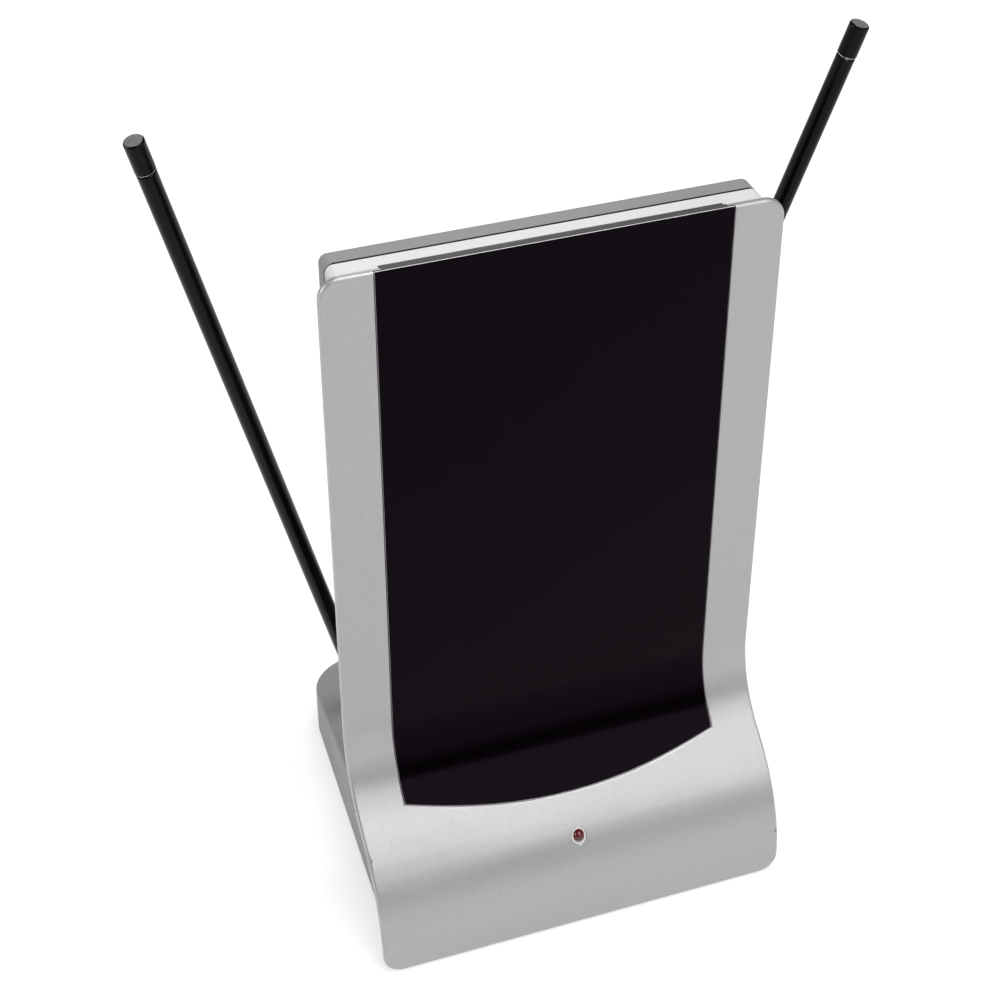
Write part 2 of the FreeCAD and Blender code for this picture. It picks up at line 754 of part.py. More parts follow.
def base_plate():
    """Bottom plate with recesses for the feet, standoffs for the board and stakes for the ballast."""
    body = new_body("base_plate")
    inset = "(base_wall + plate_gap)"
    plan = new_sketch(body, "XY_Plane", "base_bottom")
    base_plan(plan, inset, skirt_y("(face_thickness + base_front_gap + %s)" % inset, PLATE_TOP))
    swept("Pad", body, plan, "plate_thickness", 1)
    standoffs = new_sketch(body, "XY_Plane", PLATE_TOP)
    for across, depth in standoff_spots():
        ring(standoffs, across, depth, "standoff_radius")
    swept("Pad", body, standoffs, "standoff_height", 1)
    stakes = new_sketch(body, "XY_Plane", PLATE_TOP)
    for sign in ("0 - ", ""):
        ring(stakes, sign + "stake_x", "ballast_start + ballast_length / 2", "stake_radius")
    swept("Pad", body, stakes, "ballast_thickness", 1)
    recesses = new_sketch(body, "XY_Plane", "base_bottom")
    for side, across, depth in foot_spots():
        ring(recesses, across, depth, "foot_radius + plate_gap")
    swept("Pocket", body, recesses, "foot_recess", 1)
    holes = new_sketch(body, "XY_Plane", "base_bottom")
    for across, depth in base_boss_spots():
        ring(holes, across, depth, "screw_hole")
    swept("Pocket", body, holes, "plate_thickness", 1)
    sinks = new_sketch(body, "XY_Plane", "base_bottom")
    for across, depth in base_boss_spots():
        ring(sinks, across, depth, "screw_head + socket_gap")
    swept("Pocket", body, sinks, "screw_head_height", 1)
    pilots = new_sketch(body, "XY_Plane", BOARD_LOW)
    for across, depth in standoff_spots():
        ring(pilots, across, depth, "screw_radius")
    swept("Pocket", body, pilots, "small_screw_length - board_thickness", -1)
    keep("base_plate", body)


def feet():
    """Four rubber buttons, each with a bevelled lower edge."""
    height = "(base_bottom + foot_recess)"
    edge = "(foot_radius - foot_recess)"
    for side, across, depth in foot_spots():
        body = turned("foot_" + side, "XZ_Plane", [
            ("0", "0"),
            (edge, "0"),
            ("foot_radius", "foot_recess"),
            ("foot_radius", height),
            ("0", height),
        ])
        body.setExpression("Placement.Base.x", bound(across))
        keep("foot_" + side, body)
        body.setExpression("Placement.Base.y", bound("%s + %s" % (FRAME_Y, depth)))


def ballast():
    """Steel slab held on the bottom plate by two moulded stakes."""
    body = new_body("ballast_plate")
    slab = new_sketch(body, "XY_Plane", PLATE_TOP)
    rectangle(slab, "0 - ballast_half", "ballast_start", "ballast_half", "ballast_start + ballast_length")
    swept("Pad", body, slab, "ballast_thickness", 1)
    holes = new_sketch(body, "XY_Plane", PLATE_TOP)
    for sign in ("0 - ", ""):
        ring(holes, sign + "stake_x", "ballast_start + ballast_length / 2", "stake_radius + socket_gap")
    swept("Pocket", body, holes, "ballast_thickness", 1)
    keep("ballast_plate", body)


# Electronics

def amplifier_board():
    body = new_body("amplifier_board")
    board = new_sketch(body, "XY_Plane", BOARD_LOW)
    rectangle(board, "0 - board_half", BOARD_FRONT, "board_half", BOARD_BACK)
    swept("Pad", body, board, "board_thickness", 1)
    holes = new_sketch(body, "XY_Plane", BOARD_LOW)
    for across, depth in standoff_spots():
        ring(holes, across, depth, "screw_hole")
    swept("Pocket", body, holes, "board_thickness", 1)
    keep("amplifier_board", body)


def shield_can():
    """Folded tin box over the amplifier, open where it meets the board."""
    back = "(%s + shield_length)" % SHIELD_FRONT
    outside = block(("0 - shield_half", SHIELD_FRONT, BOARD_TOP), ("shield_half", back, BOARD_TOP + " + shield_height"))
    inside = block(
        ("0 - shield_half + shield_wall", SHIELD_FRONT + " + shield_wall", BOARD_TOP + " - shield_wall"),
        ("shield_half - shield_wall", back + " - shield_wall", BOARD_TOP + " + shield_height - shield_wall"))
    keep("shield_can", cut(outside, inside))


def power_socket():
    """Barrel socket on the board, its nose flush in the rear wall, with a centre pin."""
    nose = "(base_rear - base_wall - board_clear)"
    body = block(("0 - power_x - power_half", "%s - power_length" % nose, BOARD_TOP),
                 ("0 - power_x + power_half", nose, "socket_height + power_half"))
    tube = cylinder("power_nose", "base_wall + board_clear", ("0 - power_x", nose, "socket_height"), "Y")
    bore = cylinder("power_bore", "power_bore_depth", ("0 - power_x", "base_rear - power_bore_depth", "socket_height"), "Y")
    pin = cylinder("power_pin", "power_bore_depth - power_bore",
                   ("0 - power_x", "base_rear - power_bore_depth", "socket_height"), "Y")
    keep("power_socket", fuse(cut(fuse(body, tube), bore), pin))


def coax_socket():
    """Threaded coaxial socket: flange inside the rear wall, barrel outside it, contact bore through the middle."""
    wall = "(base_rear - base_wall)"
    root_end = "(base_rear + lock_washer_thickness + nut_thickness)"
    tip = "(base_rear + coax_reach)"
    bevel = "(coax_radius - coax_root)"
    body = turned("coax_socket", "XY_Plane", [
        ("power_pin", "%s - coax_flange_thickness - coax_tail" % wall),
        ("coax_tail_radius", "%s - coax_flange_thickness - coax_tail" % wall),
        ("coax_tail_radius", "%s - coax_flange_thickness" % wall),
        ("coax_flange", "%s - coax_flange_thickness" % wall),
        ("coax_flange", wall),
        ("coax_root", wall),
        ("coax_root", root_end),
        ("coax_radius", root_end),
        ("coax_radius", "%s - %s" % (tip, bevel)),
        ("coax_root", tip),
        ("power_pin", tip),
    ])
    hang_on_rear(body)
    keep("coax_socket", body)
    nut = new_body("coax_nut")
    face = new_sketch(nut, "XZ_Plane", "base_rear + lock_washer_thickness")
    corners = []
    for turn in range(6):
        reach = "nut_across / 2 / cos(30)"
        corners.append(("%s * cos(%d)" % (reach, 60 * turn), "%s * sin(%d)" % (reach, 60 * turn)))
    outline(face, corners)
    swept("Pad", nut, face, "nut_thickness", 1)
    hole = new_sketch(nut, "XZ_Plane", "base_rear + lock_washer_thickness")
    ring(hole, "0", "0", "coax_root")
    swept("Pocket", nut, hole, "nut_thickness", 1)
    hang_on_rear(nut)
    keep("coax_nut", nut)
    washer = turned("coax_washer", "XY_Plane", [
        ("coax_root + socket_gap", "base_rear"),
        ("lock_washer_radius", "base_rear"),
        ("lock_washer_radius", "base_rear + lock_washer_thickness"),
        ("coax_root + socket_gap", "base_rear + lock_washer_thickness"),
    ])
    hang_on_rear(washer)
    keep("coax_washer", washer)


def hang_on_rear(item):
    item.setExpression("Placement.Base.x", bound("coax_x"))
    item.setExpression("Placement.Base.z", bound("socket_height"))


def lamp():
    """Red indicator lamp with a domed lens, in a collar pushed into the boss behind the face."""
    tip = "(%s - lamp_proud)" % toe_y("0", "lamp_height")
    back = "(%s + lamp_length)" % tip
    body = turned("lamp", "XY_Plane", [
        ("0", back),
        ("lamp_flange", back),
        ("lamp_flange", back + " - lamp_radius / 2"),
        ("lamp_radius", back + " - lamp_radius / 2"),
        ("lamp_radius", tip + " + lamp_radius"),
        ("0", tip, "lamp_radius", "right"),
    ])
    body.setExpression("Placement.Base.z", bound("lamp_height"))
    keep("lamp", body)
    front = "(%s + holder_set)" % tip
    holder = turned("lamp_holder", "XY_Plane", [
        ("lamp_radius + lamp_gap", front),
        ("holder_radius - lamp_gap", front),
        ("holder_radius - lamp_gap", front + " + holder_length"),
        ("lamp_flange + lamp_gap", front + " + holder_length"),
        ("lamp_flange + lamp_gap", back + " - lamp_radius / 2"),
        ("lamp_radius + lamp_gap", back + " - lamp_radius / 2"),
    ])
    holder.setExpression("Placement.Base.z", bound("lamp_height"))
    keep("lamp_holder", holder)


def receiver():
    """Flat receiving board behind the panel, with two copper loops on its front."""
    body = new_body("receiver_board")
    board = new_sketch(body, "XZ_Plane", RECEIVER_FRONT)
    rectangle(board, "0 - receiver_half", "receiver_low", "receiver_half", RECEIVER_TOP)
    swept("Pad", body, board, "board_thickness", 1)
    holes = new_sketch(body, "XZ_Plane", RECEIVER_FRONT)
    for across, up in receiver_post_spots():
        ring(holes, across, up, "screw_hole")
    swept("Pocket", body, holes, "board_thickness", 1)
    keep("receiver_board", body)
    half = "(receiver_half - trace_inset)"
    low = "(receiver_low + trace_inset)"
    high = "(%s - trace_inset)" % RECEIVER_TOP
    middle = "((%s + %s) / 2)" % (low, high)
    front = RECEIVER_FRONT + " - trace_thickness"
    whole = block(("0 - " + half, front, low), (half, RECEIVER_FRONT, high))
    holes = []
    for start, end in ((low, middle), (middle, high)):
        first = start + " + trace_width" if start == low else start + " + trace_width / 2"
        last = end + " - trace_width" if end == high else end + " - trace_width / 2"
        holes.append(block(("0 - %s + trace_width" % half, front, first), (half + " - trace_width", RECEIVER_FRONT, last)))
    feed = block(("0 - trace_width / 2", front, low), ("trace_width / 2", RECEIVER_FRONT, low + " + trace_width"))
    keep("receiver_trace", cut(whole, feed, *holes))


# Telescopic rods

def rod_place(sign, tilted):
    """Where a rod's own frame stands: origin on the pivot, turned to its bearing and tilted outwards."""
    bearing = number("180 + rod_toe_in" if sign < 0 else "0 - rod_toe_in")
    turn = Rotation(Vector(0, 0, 1), bearing)
    if tilted:
        turn = turn.multiply(Rotation(Vector(0, 1, 0), number("rod_tilt")))
    pivot = Vector(sign * number(POST_X), number("post_depth + %s" % FRAME_Y), number(PIVOT_HEIGHT))
    return Placement(pivot, turn)


def keep_on_rod(label, item, sign, tilted):
    item.Label = label
    item.Placement = rod_place(sign, tilted)
    nodes[label] = item


def swivel_post(side, sign):
    """Fork on a round flange, with a shaft down through the deck."""
    body = new_body("post")
    foot = "(0 - pivot_rise)"
    fork = new_sketch(body, "XZ_Plane")
    outline(fork, [
        ("0 - fork_half", foot),
        ("fork_half", foot),
        ("fork_half", "0"),
        ("0", "fork_half", "fork_half", "left"),
        ("0 - fork_half", "0", "fork_half", "left"),
    ])
    swept("Pad", body, fork, "fork_half * 2", 0)
    flange = new_sketch(body, "XY_Plane", foot)
    ring(flange, "0", "0", "post_flange")
    swept("Pad", body, flange, "post_flange_thickness", 1)
    shaft = new_sketch(body, "XY_Plane", foot)
    ring(shaft, "0", "0", "post_shaft")
    swept("Pad", body, shaft, "seat_thickness + contact_thickness + turn_gap * 2", -1)
    slot = new_sketch(body, "YZ_Plane")
    rectangle(slot, "0 - fork_slot", "0 - slot_depth", "fork_slot", "fork_half * 2")
    swept("Pocket", body, slot, "post_flange * 4", 0)
    eye = new_sketch(body, "XZ_Plane")
    ring(eye, "0", "0", "rivet_radius")
    swept("Pocket", body, eye, "post_flange * 4", 0)
    pilot = new_sketch(body, "XY_Plane", foot + " - seat_thickness - contact_thickness - turn_gap * 2")
    ring(pilot, "0", "0", "screw_radius")
    swept("Pocket", body, pilot, "small_screw_length", 1)
    keep_on_rod(side + "_post", body, sign, False)


def pivot_rivet(side, sign):
    """Rivet through the fork, square to the fold, with a coned head at each end."""
    half = "fork_half"
    body = turned("rivet", "XY_Plane", [
        ("0", "0 - %s - rivet_head_height" % half),
        ("rivet_radius", "0 - %s - rivet_head_height" % half),
        ("rivet_head", "0 - " + half),
        ("rivet_radius", "0 - " + half),
        ("rivet_radius", half),
        ("rivet_head", half),
        ("rivet_radius", half + " + rivet_head_height"),
        ("0", half + " + rivet_head_height"),
    ])
    keep_on_rod(side + "_rivet", body, sign, False)


def post_hardware(side, sign):
    """Contact ring, washer and screw that hold the post from under the deck."""
    under = "(0 - pivot_rise - seat_thickness)"
    washer_top = "(%s - contact_thickness - turn_gap * 2)" % under
    washer_low = "(%s - washer_thickness)" % washer_top
    washer = turned("washer", "XZ_Plane", [
        ("screw_hole", washer_low),
        ("washer_radius", washer_low),
        ("washer_radius", washer_top),
        ("screw_hole", washer_top),
    ])
    keep_on_rod(side + "_washer", washer, sign, False)
    screw = turned("post_screw", "XZ_Plane", [
        ("0", washer_low + " - screw_head_height"),
        ("screw_head", washer_low + " - screw_head_height"),
        ("screw_head", washer_low),
        ("screw_radius", washer_low),
        ("screw_radius", washer_low + " + small_screw_length"),
        ("0", washer_low + " + small_screw_length"),
    ])
    keep_on_rod(side + "_post_screw", screw, sign, False)
    contact = new_body("contact")
    level = "(%s - seat_thickness - contact_thickness)" % SEAT_TOP
    lug = new_sketch(contact, "XY_Plane", level)
    ring(lug, "0", "0", "contact_radius")
    swept("Pad", contact, lug, "contact_thickness", 1)
    tail = new_sketch(contact, "XY_Plane", level)
    reach = "(contact_radius + contact_tail)"
    inward = ("0", reach) if sign < 0 else ("0 - " + reach, "0")
    rectangle(tail, inward[0], "0 - screw_head / 2", inward[1], "screw_head / 2")
    swept("Pad", contact, tail, "contact_thickness", 1)
    hole = new_sketch(contact, "XY_Plane", level)
    ring(hole, "0", "0", "post_shaft + post_gap")
    swept("Pocket", contact, hole, "contact_thickness", 1)
    contact.setExpression("Placement.Base.x", bound("%s%s" % ("0 - " if sign < 0 else "", POST_X)))
    keep(side + "_contact", contact)
    contact.setExpression("Placement.Base.y", bound("%s + post_depth" % FRAME_Y))


TUBE_TOP = "(rod_length - cap_length - tube_show * 3)"
TUBE_FOOT = "(tang_collar + tang_collar_height)"


def rod_tang(side, sign):
    """Flat tongue on the pivot, a collar, and a plug up into the outer tube."""
    body = new_body("tang")
    tongue = new_sketch(body, "XZ_Plane")
    outline(tongue, [
        ("0 - tang_width", "tang_collar"),
        ("0 - tang_width", "0"),
        ("0", "0 - tang_width", "tang_width", "left"),
        ("tang_width", "0", "tang_width", "left"),
        ("tang_width", "tang_collar"),
    ])
    swept("Pad", body, tongue, "tang_half * 2", 0)
    collar = new_sketch(body, "XY_Plane", "tang_collar")
    ring(collar, "0", "0", "tube_radius")
    swept("Pad", body, collar, "tang_collar_height", 1)
    plug = new_sketch(body, "XY_Plane", TUBE_FOOT)
    ring(plug, "0", "0", "tube_radius - tube_wall")
    swept("Pad", body, plug, "tang_plug", 1)
    eye = new_sketch(body, "XZ_Plane")
    ring(eye, "0", "0", "rivet_radius + rivet_gap")
    swept("Pocket", body, eye, "tang_half * 4", 0)
    keep_on_rod(side + "_tang", body, sign, True)


def rod_tubes(side, sign):
    """Four nested tubes: each has a drawn-in neck at its top and a swelled foot that runs in the tube outside it."""
    for order, name in enumerate(("outer_tube", "middle_tube", "inner_tube", "tip_tube")):
        outer = "(tube_radius - tube_step * %d)" % order
        inner = "(%s - tube_wall)" % outer
        top = "(%s + tube_show * %d)" % (TUBE_TOP, order)
        bottom = TUBE_FOOT if order == 0 else "(%s + tang_plug + tube_show)" % TUBE_FOOT
        neck = "(%s - tube_step + tube_slide)" % outer
        foot = outer if order == 0 else "(%s + tube_slide)" % outer
        corners = [(inner, bottom), (foot, bottom)]
        if order > 0:
            corners += [(foot, bottom + " + tube_foot"), (outer, bottom + " + tube_foot")]
        if name == "tip_tube":
            top = "(%s + cap_plug)" % cap_foot()
            corners += [(outer, top), (inner, top)]
        else:
            corners += [(outer, top), (neck, top), (neck, top + " - tube_neck"), (inner, top + " - tube_neck")]
        body = turned(name, "XZ_Plane", corners)
        keep_on_rod("%s_%s" % (side, name), body, sign, True)


def cap_foot():
    return "(rod_length - cap_length)"


def tip_cap(side, sign):
    """Cap that stops the tubes, bored for the thinnest one, with a rounded rim and a faint crown."""
    bore = "(tube_radius - tube_step * 3)"
    body = turned("cap", "XZ_Plane", [
        (bore, cap_foot()),
        ("cap_radius", cap_foot()),
        ("cap_radius", "rod_length - cap_crown - cap_round"),
        ("cap_radius - cap_round", "rod_length - cap_crown", "cap_round", "left"),
        ("0", "rod_length"),
        ("0", "%s + cap_plug" % cap_foot()),
        (bore, "%s + cap_plug" % cap_foot()),
    ])
    keep_on_rod(side + "_tip_cap", body, sign, True)


# Fasteners and leads

def screws(label, spots, length):
    """A set of like screws in one node. A spot is the place under the head, and the way the shank goes."""
    made = []
    for place, axis, way in spots:
        shank_start, head_start = list(place), list(place)
        along = "XYZ".index(axis)
        if way > 0:
            head_start[along] = "%s - screw_head_height" % place[along]
        else:
            shank_start[along] = "%s - %s" % (place[along], length)
        made.append(fuse(
            cylinder("screw_radius", length, shank_start, axis),
            cylinder("screw_head", "screw_head_height", head_start, axis)))
    group = doc.addObject("Part::Compound", "Group")
    group.Links = made
    keep(label, group)


def all_screws():
    seat = "(cover_depth - screw_head_height)"
    screws("cover_screws", [((x, seat, z), "Y", -1) for x, z in cover_boss_spots()], "screw_length")
    low = "(base_bottom + screw_head_height)"
    screws("base_screws", [((x, y, low), "Z", 1) for x, y in base_boss_spots()], "screw_length")
    under = "(ledge_height - base_wall)"
    screws("neck_screws", [((x, y, under), "Z", 1) for x, y in neck_boss_spots()], "screw_length")
    screws("board_screws", [((x, y, BOARD_TOP), "Z", -1) for x, y in standoff_spots()], "small_screw_length")
    screws("receiver_screws", [((x, RECEIVER_FRONT, z), "Y", 1) for x, z in receiver_post_spots()],
           "small_screw_length")


def strap(label, plane, corners, width, at="0"):
    """A flat lead of even thickness: its side outline raised to its width."""
    body = new_body(label)
    sketch = new_sketch(body, plane, at)
    outline(sketch, corners)
    swept("Pad", body, sketch, width, 0)
    keep(label, body)


def all_leads():
    """Rod straps down to the board, the round feeder from the receiving board, and the lamp's flat pair."""
    thick = "lead_radius"
    inner, outer = "lead_bend - lead_radius", "lead_bend + lead_radius"
    lug = "(%s - seat_thickness - contact_thickness - lead_radius)" % SEAT_TOP
    start = "(%s - contact_radius - contact_tail / 2)" % POST_X
    drop = "(board_half - standoff_inset * 2)"
    for side, sign, near, far in (("left", "0 - ", "right", "left"), ("right", "", "left", "right")):
        strap(side + "_rod_lead", "XZ_Plane", [
            (sign + start, lug + " + lead_radius"),
            ("%s(%s + lead_bend)" % (sign, drop), lug + " + lead_radius"),
            ("%s(%s - lead_radius)" % (sign, drop), lug + " - lead_bend", outer, near),
            ("%s(%s - lead_radius)" % (sign, drop), BOARD_TOP),
            ("%s(%s + lead_radius)" % (sign, drop), BOARD_TOP),
            ("%s(%s + lead_radius)" % (sign, drop), lug + " - lead_bend"),
            ("%s(%s + lead_bend)" % (sign, drop), lug + " - lead_radius", inner, far),
            (sign + start, lug + " - lead_radius"),
        ], "strap_width", "post_depth")
    back = "(%s - lamp_proud + lamp_length)" % toe_y("0", "lamp_height")
    turn = "(0 - passage_front / 2)"
    level = "(%s + lead_bend * 2)" % BOARD_TOP
    land = "(%s + standoff_inset)" % BOARD_FRONT
    strap("lamp_leads", "YZ_Plane", [
        (back, "lamp_height + " + thick),
        (turn + " - lead_bend", "lamp_height + " + thick),
        ("%s + %s" % (turn, thick), "lamp_height - lead_bend", outer, "right"),
        ("%s + %s" % (turn, thick), level + " + lead_bend"),
        (turn + " + lead_bend", "%s + %s" % (level, thick), inner, "left"),
        (land + " - lead_bend", "%s + %s" % (level, thick)),
        ("%s + %s" % (land, thick), level + " - lead_bend", outer, "right"),
        ("%s + %s" % (land, thick), BOARD_TOP),
        ("%s - %s" % (land, thick), BOARD_TOP),
        ("%s - %s" % (land, thick), level + " - lead_bend"),
        (land + " - lead_bend", "%s - %s" % (level, thick), inner, "left"),
        (turn + " + lead_bend", "%s - %s" % (level, thick)),
        ("%s - %s" % (turn, thick), level + " + lead_bend", outer, "right"),
        ("%s - %s" % (turn, thick), "lamp_height - lead_bend"),
        (turn + " - lead_bend", "lamp_height - " + thick, inner, "left"),
        (back, "lamp_height - " + thick),
    ], "strap_width")
    feed_y = "(%s + board_thickness / 2)" % RECEIVER_FRONT
    feed_z = "(%s + shield_height / 2)" % BOARD_TOP
    body = new_body("feeder")
    end = new_sketch(body, "XY_Plane", "receiver_low")
    ring(end, "shield_half / 2", feed_y, "feeder_radius")
    route = new_sketch(body, "YZ_Plane", "shield_half / 2")
    outline(route, [
        (feed_y, "receiver_low"),
        (feed_y, feed_z + " + lead_bend"),
        (feed_y + " + lead_bend", feed_z, "lead_bend", "left"),
        (SHIELD_FRONT, feed_z),
    ], closed=False)
    pipe = body.newObject("PartDesign::AdditivePipe", "Pipe")
    pipe.Profile = end
    pipe.Spine = (route, ["Edge1", "Edge2", "Edge3"])
    keep("feeder", body)


front_shell()
screen_panel()
rear_cover()
base_housing()
base_plate()
feet()
ballast()
amplifier_board()
shield_can()
power_socket()
coax_socket()
lamp()
receiver()
for side, sign in (("left", -1), ("right", 1)):
    swivel_post(side, sign)
    pivot_rivet(side, sign)
    post_hardware(side, sign)
    rod_tang(side, sign)
    rod_tubes(side, sign)
    tip_cap(side, sign)
all_screws()
all_leads()
doc.recompute()

failed = [item.Label for item in doc.Objects if {"Invalid", "Error"} & set(item.State)]
failed += [label for label, item in nodes.items() if item.Shape.isNull() or not item.Shape.isValid()]
if failed:
    raise SystemExit("not built: " + ", ".join(failed))
os.makedirs("parts", exist_ok=True)
for label, item in nodes.items():
    item.Shape.exportStep("parts/%s.step" % label)
    print("%-22s %d solids %10.1f mm3" % (label, len(item.Shape.Solids), item.Shape.Volume))
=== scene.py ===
import json
import math

import bmesh
import bpy
from mathutils import Euler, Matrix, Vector


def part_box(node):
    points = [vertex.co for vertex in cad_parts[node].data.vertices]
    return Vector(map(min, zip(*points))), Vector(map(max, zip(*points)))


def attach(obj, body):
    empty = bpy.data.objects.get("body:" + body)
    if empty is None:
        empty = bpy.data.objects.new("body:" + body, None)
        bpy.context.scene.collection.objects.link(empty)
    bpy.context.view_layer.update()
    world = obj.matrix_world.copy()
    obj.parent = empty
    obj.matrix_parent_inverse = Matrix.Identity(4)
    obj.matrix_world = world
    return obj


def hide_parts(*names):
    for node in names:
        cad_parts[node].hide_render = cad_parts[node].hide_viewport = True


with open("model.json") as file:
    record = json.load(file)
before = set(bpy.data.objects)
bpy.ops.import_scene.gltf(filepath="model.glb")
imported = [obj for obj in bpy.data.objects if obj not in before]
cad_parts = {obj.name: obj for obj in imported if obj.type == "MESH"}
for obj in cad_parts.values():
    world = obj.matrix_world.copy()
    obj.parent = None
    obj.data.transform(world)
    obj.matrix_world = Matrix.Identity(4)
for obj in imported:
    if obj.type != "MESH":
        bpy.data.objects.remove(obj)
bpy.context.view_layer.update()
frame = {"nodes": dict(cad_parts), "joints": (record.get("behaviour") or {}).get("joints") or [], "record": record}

MM = 0.001
nodes = frame["nodes"]
joints = {joint["name"]: joint for joint in frame["joints"]}
slots = {piece["node"]: piece["material_slot"] for piece in frame["record"]["subparts"]}
bodies_of = {name: body for body, held in frame["record"]["behaviour"]["bodies"].items() for name in held}


# Shader node helpers

def node(tree, kind, place=(0, 0), **values):
    made = tree.nodes.new(kind)
    made.location = place
    for name, value in values.items():
        setattr(made, name, value)
    return made


def maths(tree, operation, first, second=None):
    made = node(tree, "ShaderNodeMath", operation=operation)
    for socket, value in zip(made.inputs, (first, second)):
        if hasattr(value, "links"):
            tree.links.new(value, socket)
        elif value is not None:
            socket.default_value = value
    return made.outputs[0]


def span(tree, value, low, high, to_low, to_high):
    made = node(tree, "ShaderNodeMapRange")
    tree.links.new(value, made.inputs["Value"])
    ends = (("From Min", low), ("From Max", high), ("To Min", to_low), ("To Max", to_high))
    for name, end in ends:
        if hasattr(end, "links"):
            tree.links.new(end, made.inputs[name])
        else:
            made.inputs[name].default_value = end
    return made.outputs["Result"]


def noise(tree, place, scale, detail=3.0, rough=0.5):
    made = node(tree, "ShaderNodeTexNoise")
    tree.links.new(place, made.inputs["Vector"])
    if hasattr(scale, "links"):
        tree.links.new(scale, made.inputs["Scale"])
    else:
        made.inputs["Scale"].default_value = scale
    made.inputs["Detail"].default_value = detail
    made.inputs["Roughness"].default_value = rough
    return made.outputs["Fac"]


def effect(name, inputs, outputs):
    """A shared effect: a node group with named inputs and outputs."""
    tree = bpy.data.node_groups.new(name, "ShaderNodeTree")
    for socket, default in inputs:
        kind = "NodeSocketVector" if default is None else "NodeSocketFloat"
        made = tree.interface.new_socket(socket, in_out="INPUT", socket_type=kind)
        if default is not None:
            made.default_value = default
    for socket in outputs:
        tree.interface.new_socket(socket, in_out="OUTPUT", socket_type="NodeSocketFloat")
    return tree, node(tree, "NodeGroupInput").outputs, node(tree, "NodeGroupOutput").inputs


def moulded_grain():
    """Spark-eroded mould texture: fine height, a faint drift in tone and in gloss."""
    tree, given, wanted = effect("moulded_grain", [("Place", None), ("Scale", 1500.0), ("Drift", 0.05)],
                                 ["Height", "Tone", "Gloss"])
    fine = noise(tree, given["Place"], given["Scale"], 4.0, 0.6)
    slow = noise(tree, given["Place"], 18.0, 3.0)
    tree.links.new(fine, wanted["Height"])
    low = maths(tree, "SUBTRACT", 1.0, given["Drift"])
    high = maths(tree, "ADD", 1.0, given["Drift"])
    tree.links.new(span(tree, slow, 0.3, 0.7, low, high), wanted["Tone"])
    both = maths(tree, "ADD", maths(tree, "MULTIPLY", fine, 0.6), maths(tree, "MULTIPLY", slow, 0.4))
    tree.links.new(span(tree, both, 0.3, 0.7, -0.06, 0.06), wanted["Gloss"])
    return tree


def metal_flake():
    """Tiny flakes in silver lacquer: each cell has its own brightness and lies at its own slant."""
    tree, given, wanted = effect("metal_flake", [("Place", None), ("Scale", 2600.0), ("Spread", 0.1)],
                                 ["Tone", "Height"])
    cells = node(tree, "ShaderNodeTexVoronoi", feature="F1")
    tree.links.new(given["Place"], cells.inputs["Vector"])
    tree.links.new(given["Scale"], cells.inputs["Scale"])
    parts = node(tree, "ShaderNodeSeparateColor")
    tree.links.new(cells.outputs["Color"], parts.inputs["Color"])
    low = maths(tree, "SUBTRACT", 1.0, given["Spread"])
    high = maths(tree, "ADD", 1.0, given["Spread"])
    tree.links.new(span(tree, parts.outputs["Red"], 0.0, 1.0, low, high), wanted["Tone"])
    tree.links.new(parts.outputs["Green"], wanted["Height"])
    return tree


def handling_marks():
    """Faint rubbed patches and dust that change how the surface shines."""
    tree, given, wanted = effect("handling_marks", [("Place", None), ("Amount", 0.08)], ["Gloss", "Dust"])
    patches = noise(tree, given["Place"], 26.0, 5.0, 0.62)
    scuffs = noise(tree, given["Place"], 210.0, 2.0, 0.5)
    rubbed = span(tree, patches, 0.45, 0.7, 0.0, 1.0)
    mixed = maths(tree, "MULTIPLY", rubbed, span(tree, scuffs, 0.35, 0.65, 0.4, 1.0))
    tree.links.new(maths(tree, "MULTIPLY", mixed, given["Amount"]), wanted["Gloss"])
    specks = noise(tree, given["Place"], 900.0, 1.0, 0.4)
    tree.links.new(span(tree, specks, 0.68, 0.74, 0.0, 1.0), wanted["Dust"])
    return tree


def drawn_lines():
    """Fine lines left along a drawn tube or a rolled sheet, in the direction of Z of the given place."""
    tree, given, wanted = effect("drawn_lines", [("Place", None), ("Scale", 900.0)], ["Height", "Tone"])
    squeezed = node(tree, "ShaderNodeVectorMath", operation="MULTIPLY")
    tree.links.new(given["Place"], squeezed.inputs[0])
    squeezed.inputs[1].default_value = (1.0, 1.0, 0.02)
    lines = noise(tree, squeezed.outputs[0], given["Scale"], 3.0, 0.6)
    tree.links.new(lines, wanted["Height"])
    tree.links.new(span(tree, lines, 0.25, 0.75, 0.93, 1.07), wanted["Tone"])
    return tree


EFFECTS = {make.__name__: make() for make in (moulded_grain, metal_flake, handling_marks, drawn_lines)}


def use(tree, name, place, **values):
    made = node(tree, "ShaderNodeGroup", node_tree=EFFECTS[name])
    tree.links.new(place, made.inputs["Place"])
    for socket, value in values.items():
        made.inputs[socket].default_value = value
    return made.outputs


def object_place(tree, pivot=None, turn=None):
    """Object coordinates, moved and turned to a piece's own axes where a pattern runs along it."""
    place = node(tree, "ShaderNodeTexCoord").outputs["Object"]
    if pivot is None:
        return place
    mapping = node(tree, "ShaderNodeMapping", vector_type="TEXTURE")
    mapping.inputs["Location"].default_value = pivot
    mapping.inputs["Rotation"].default_value = turn
    tree.links.new(place, mapping.inputs["Vector"])
    return mapping.outputs["Vector"]


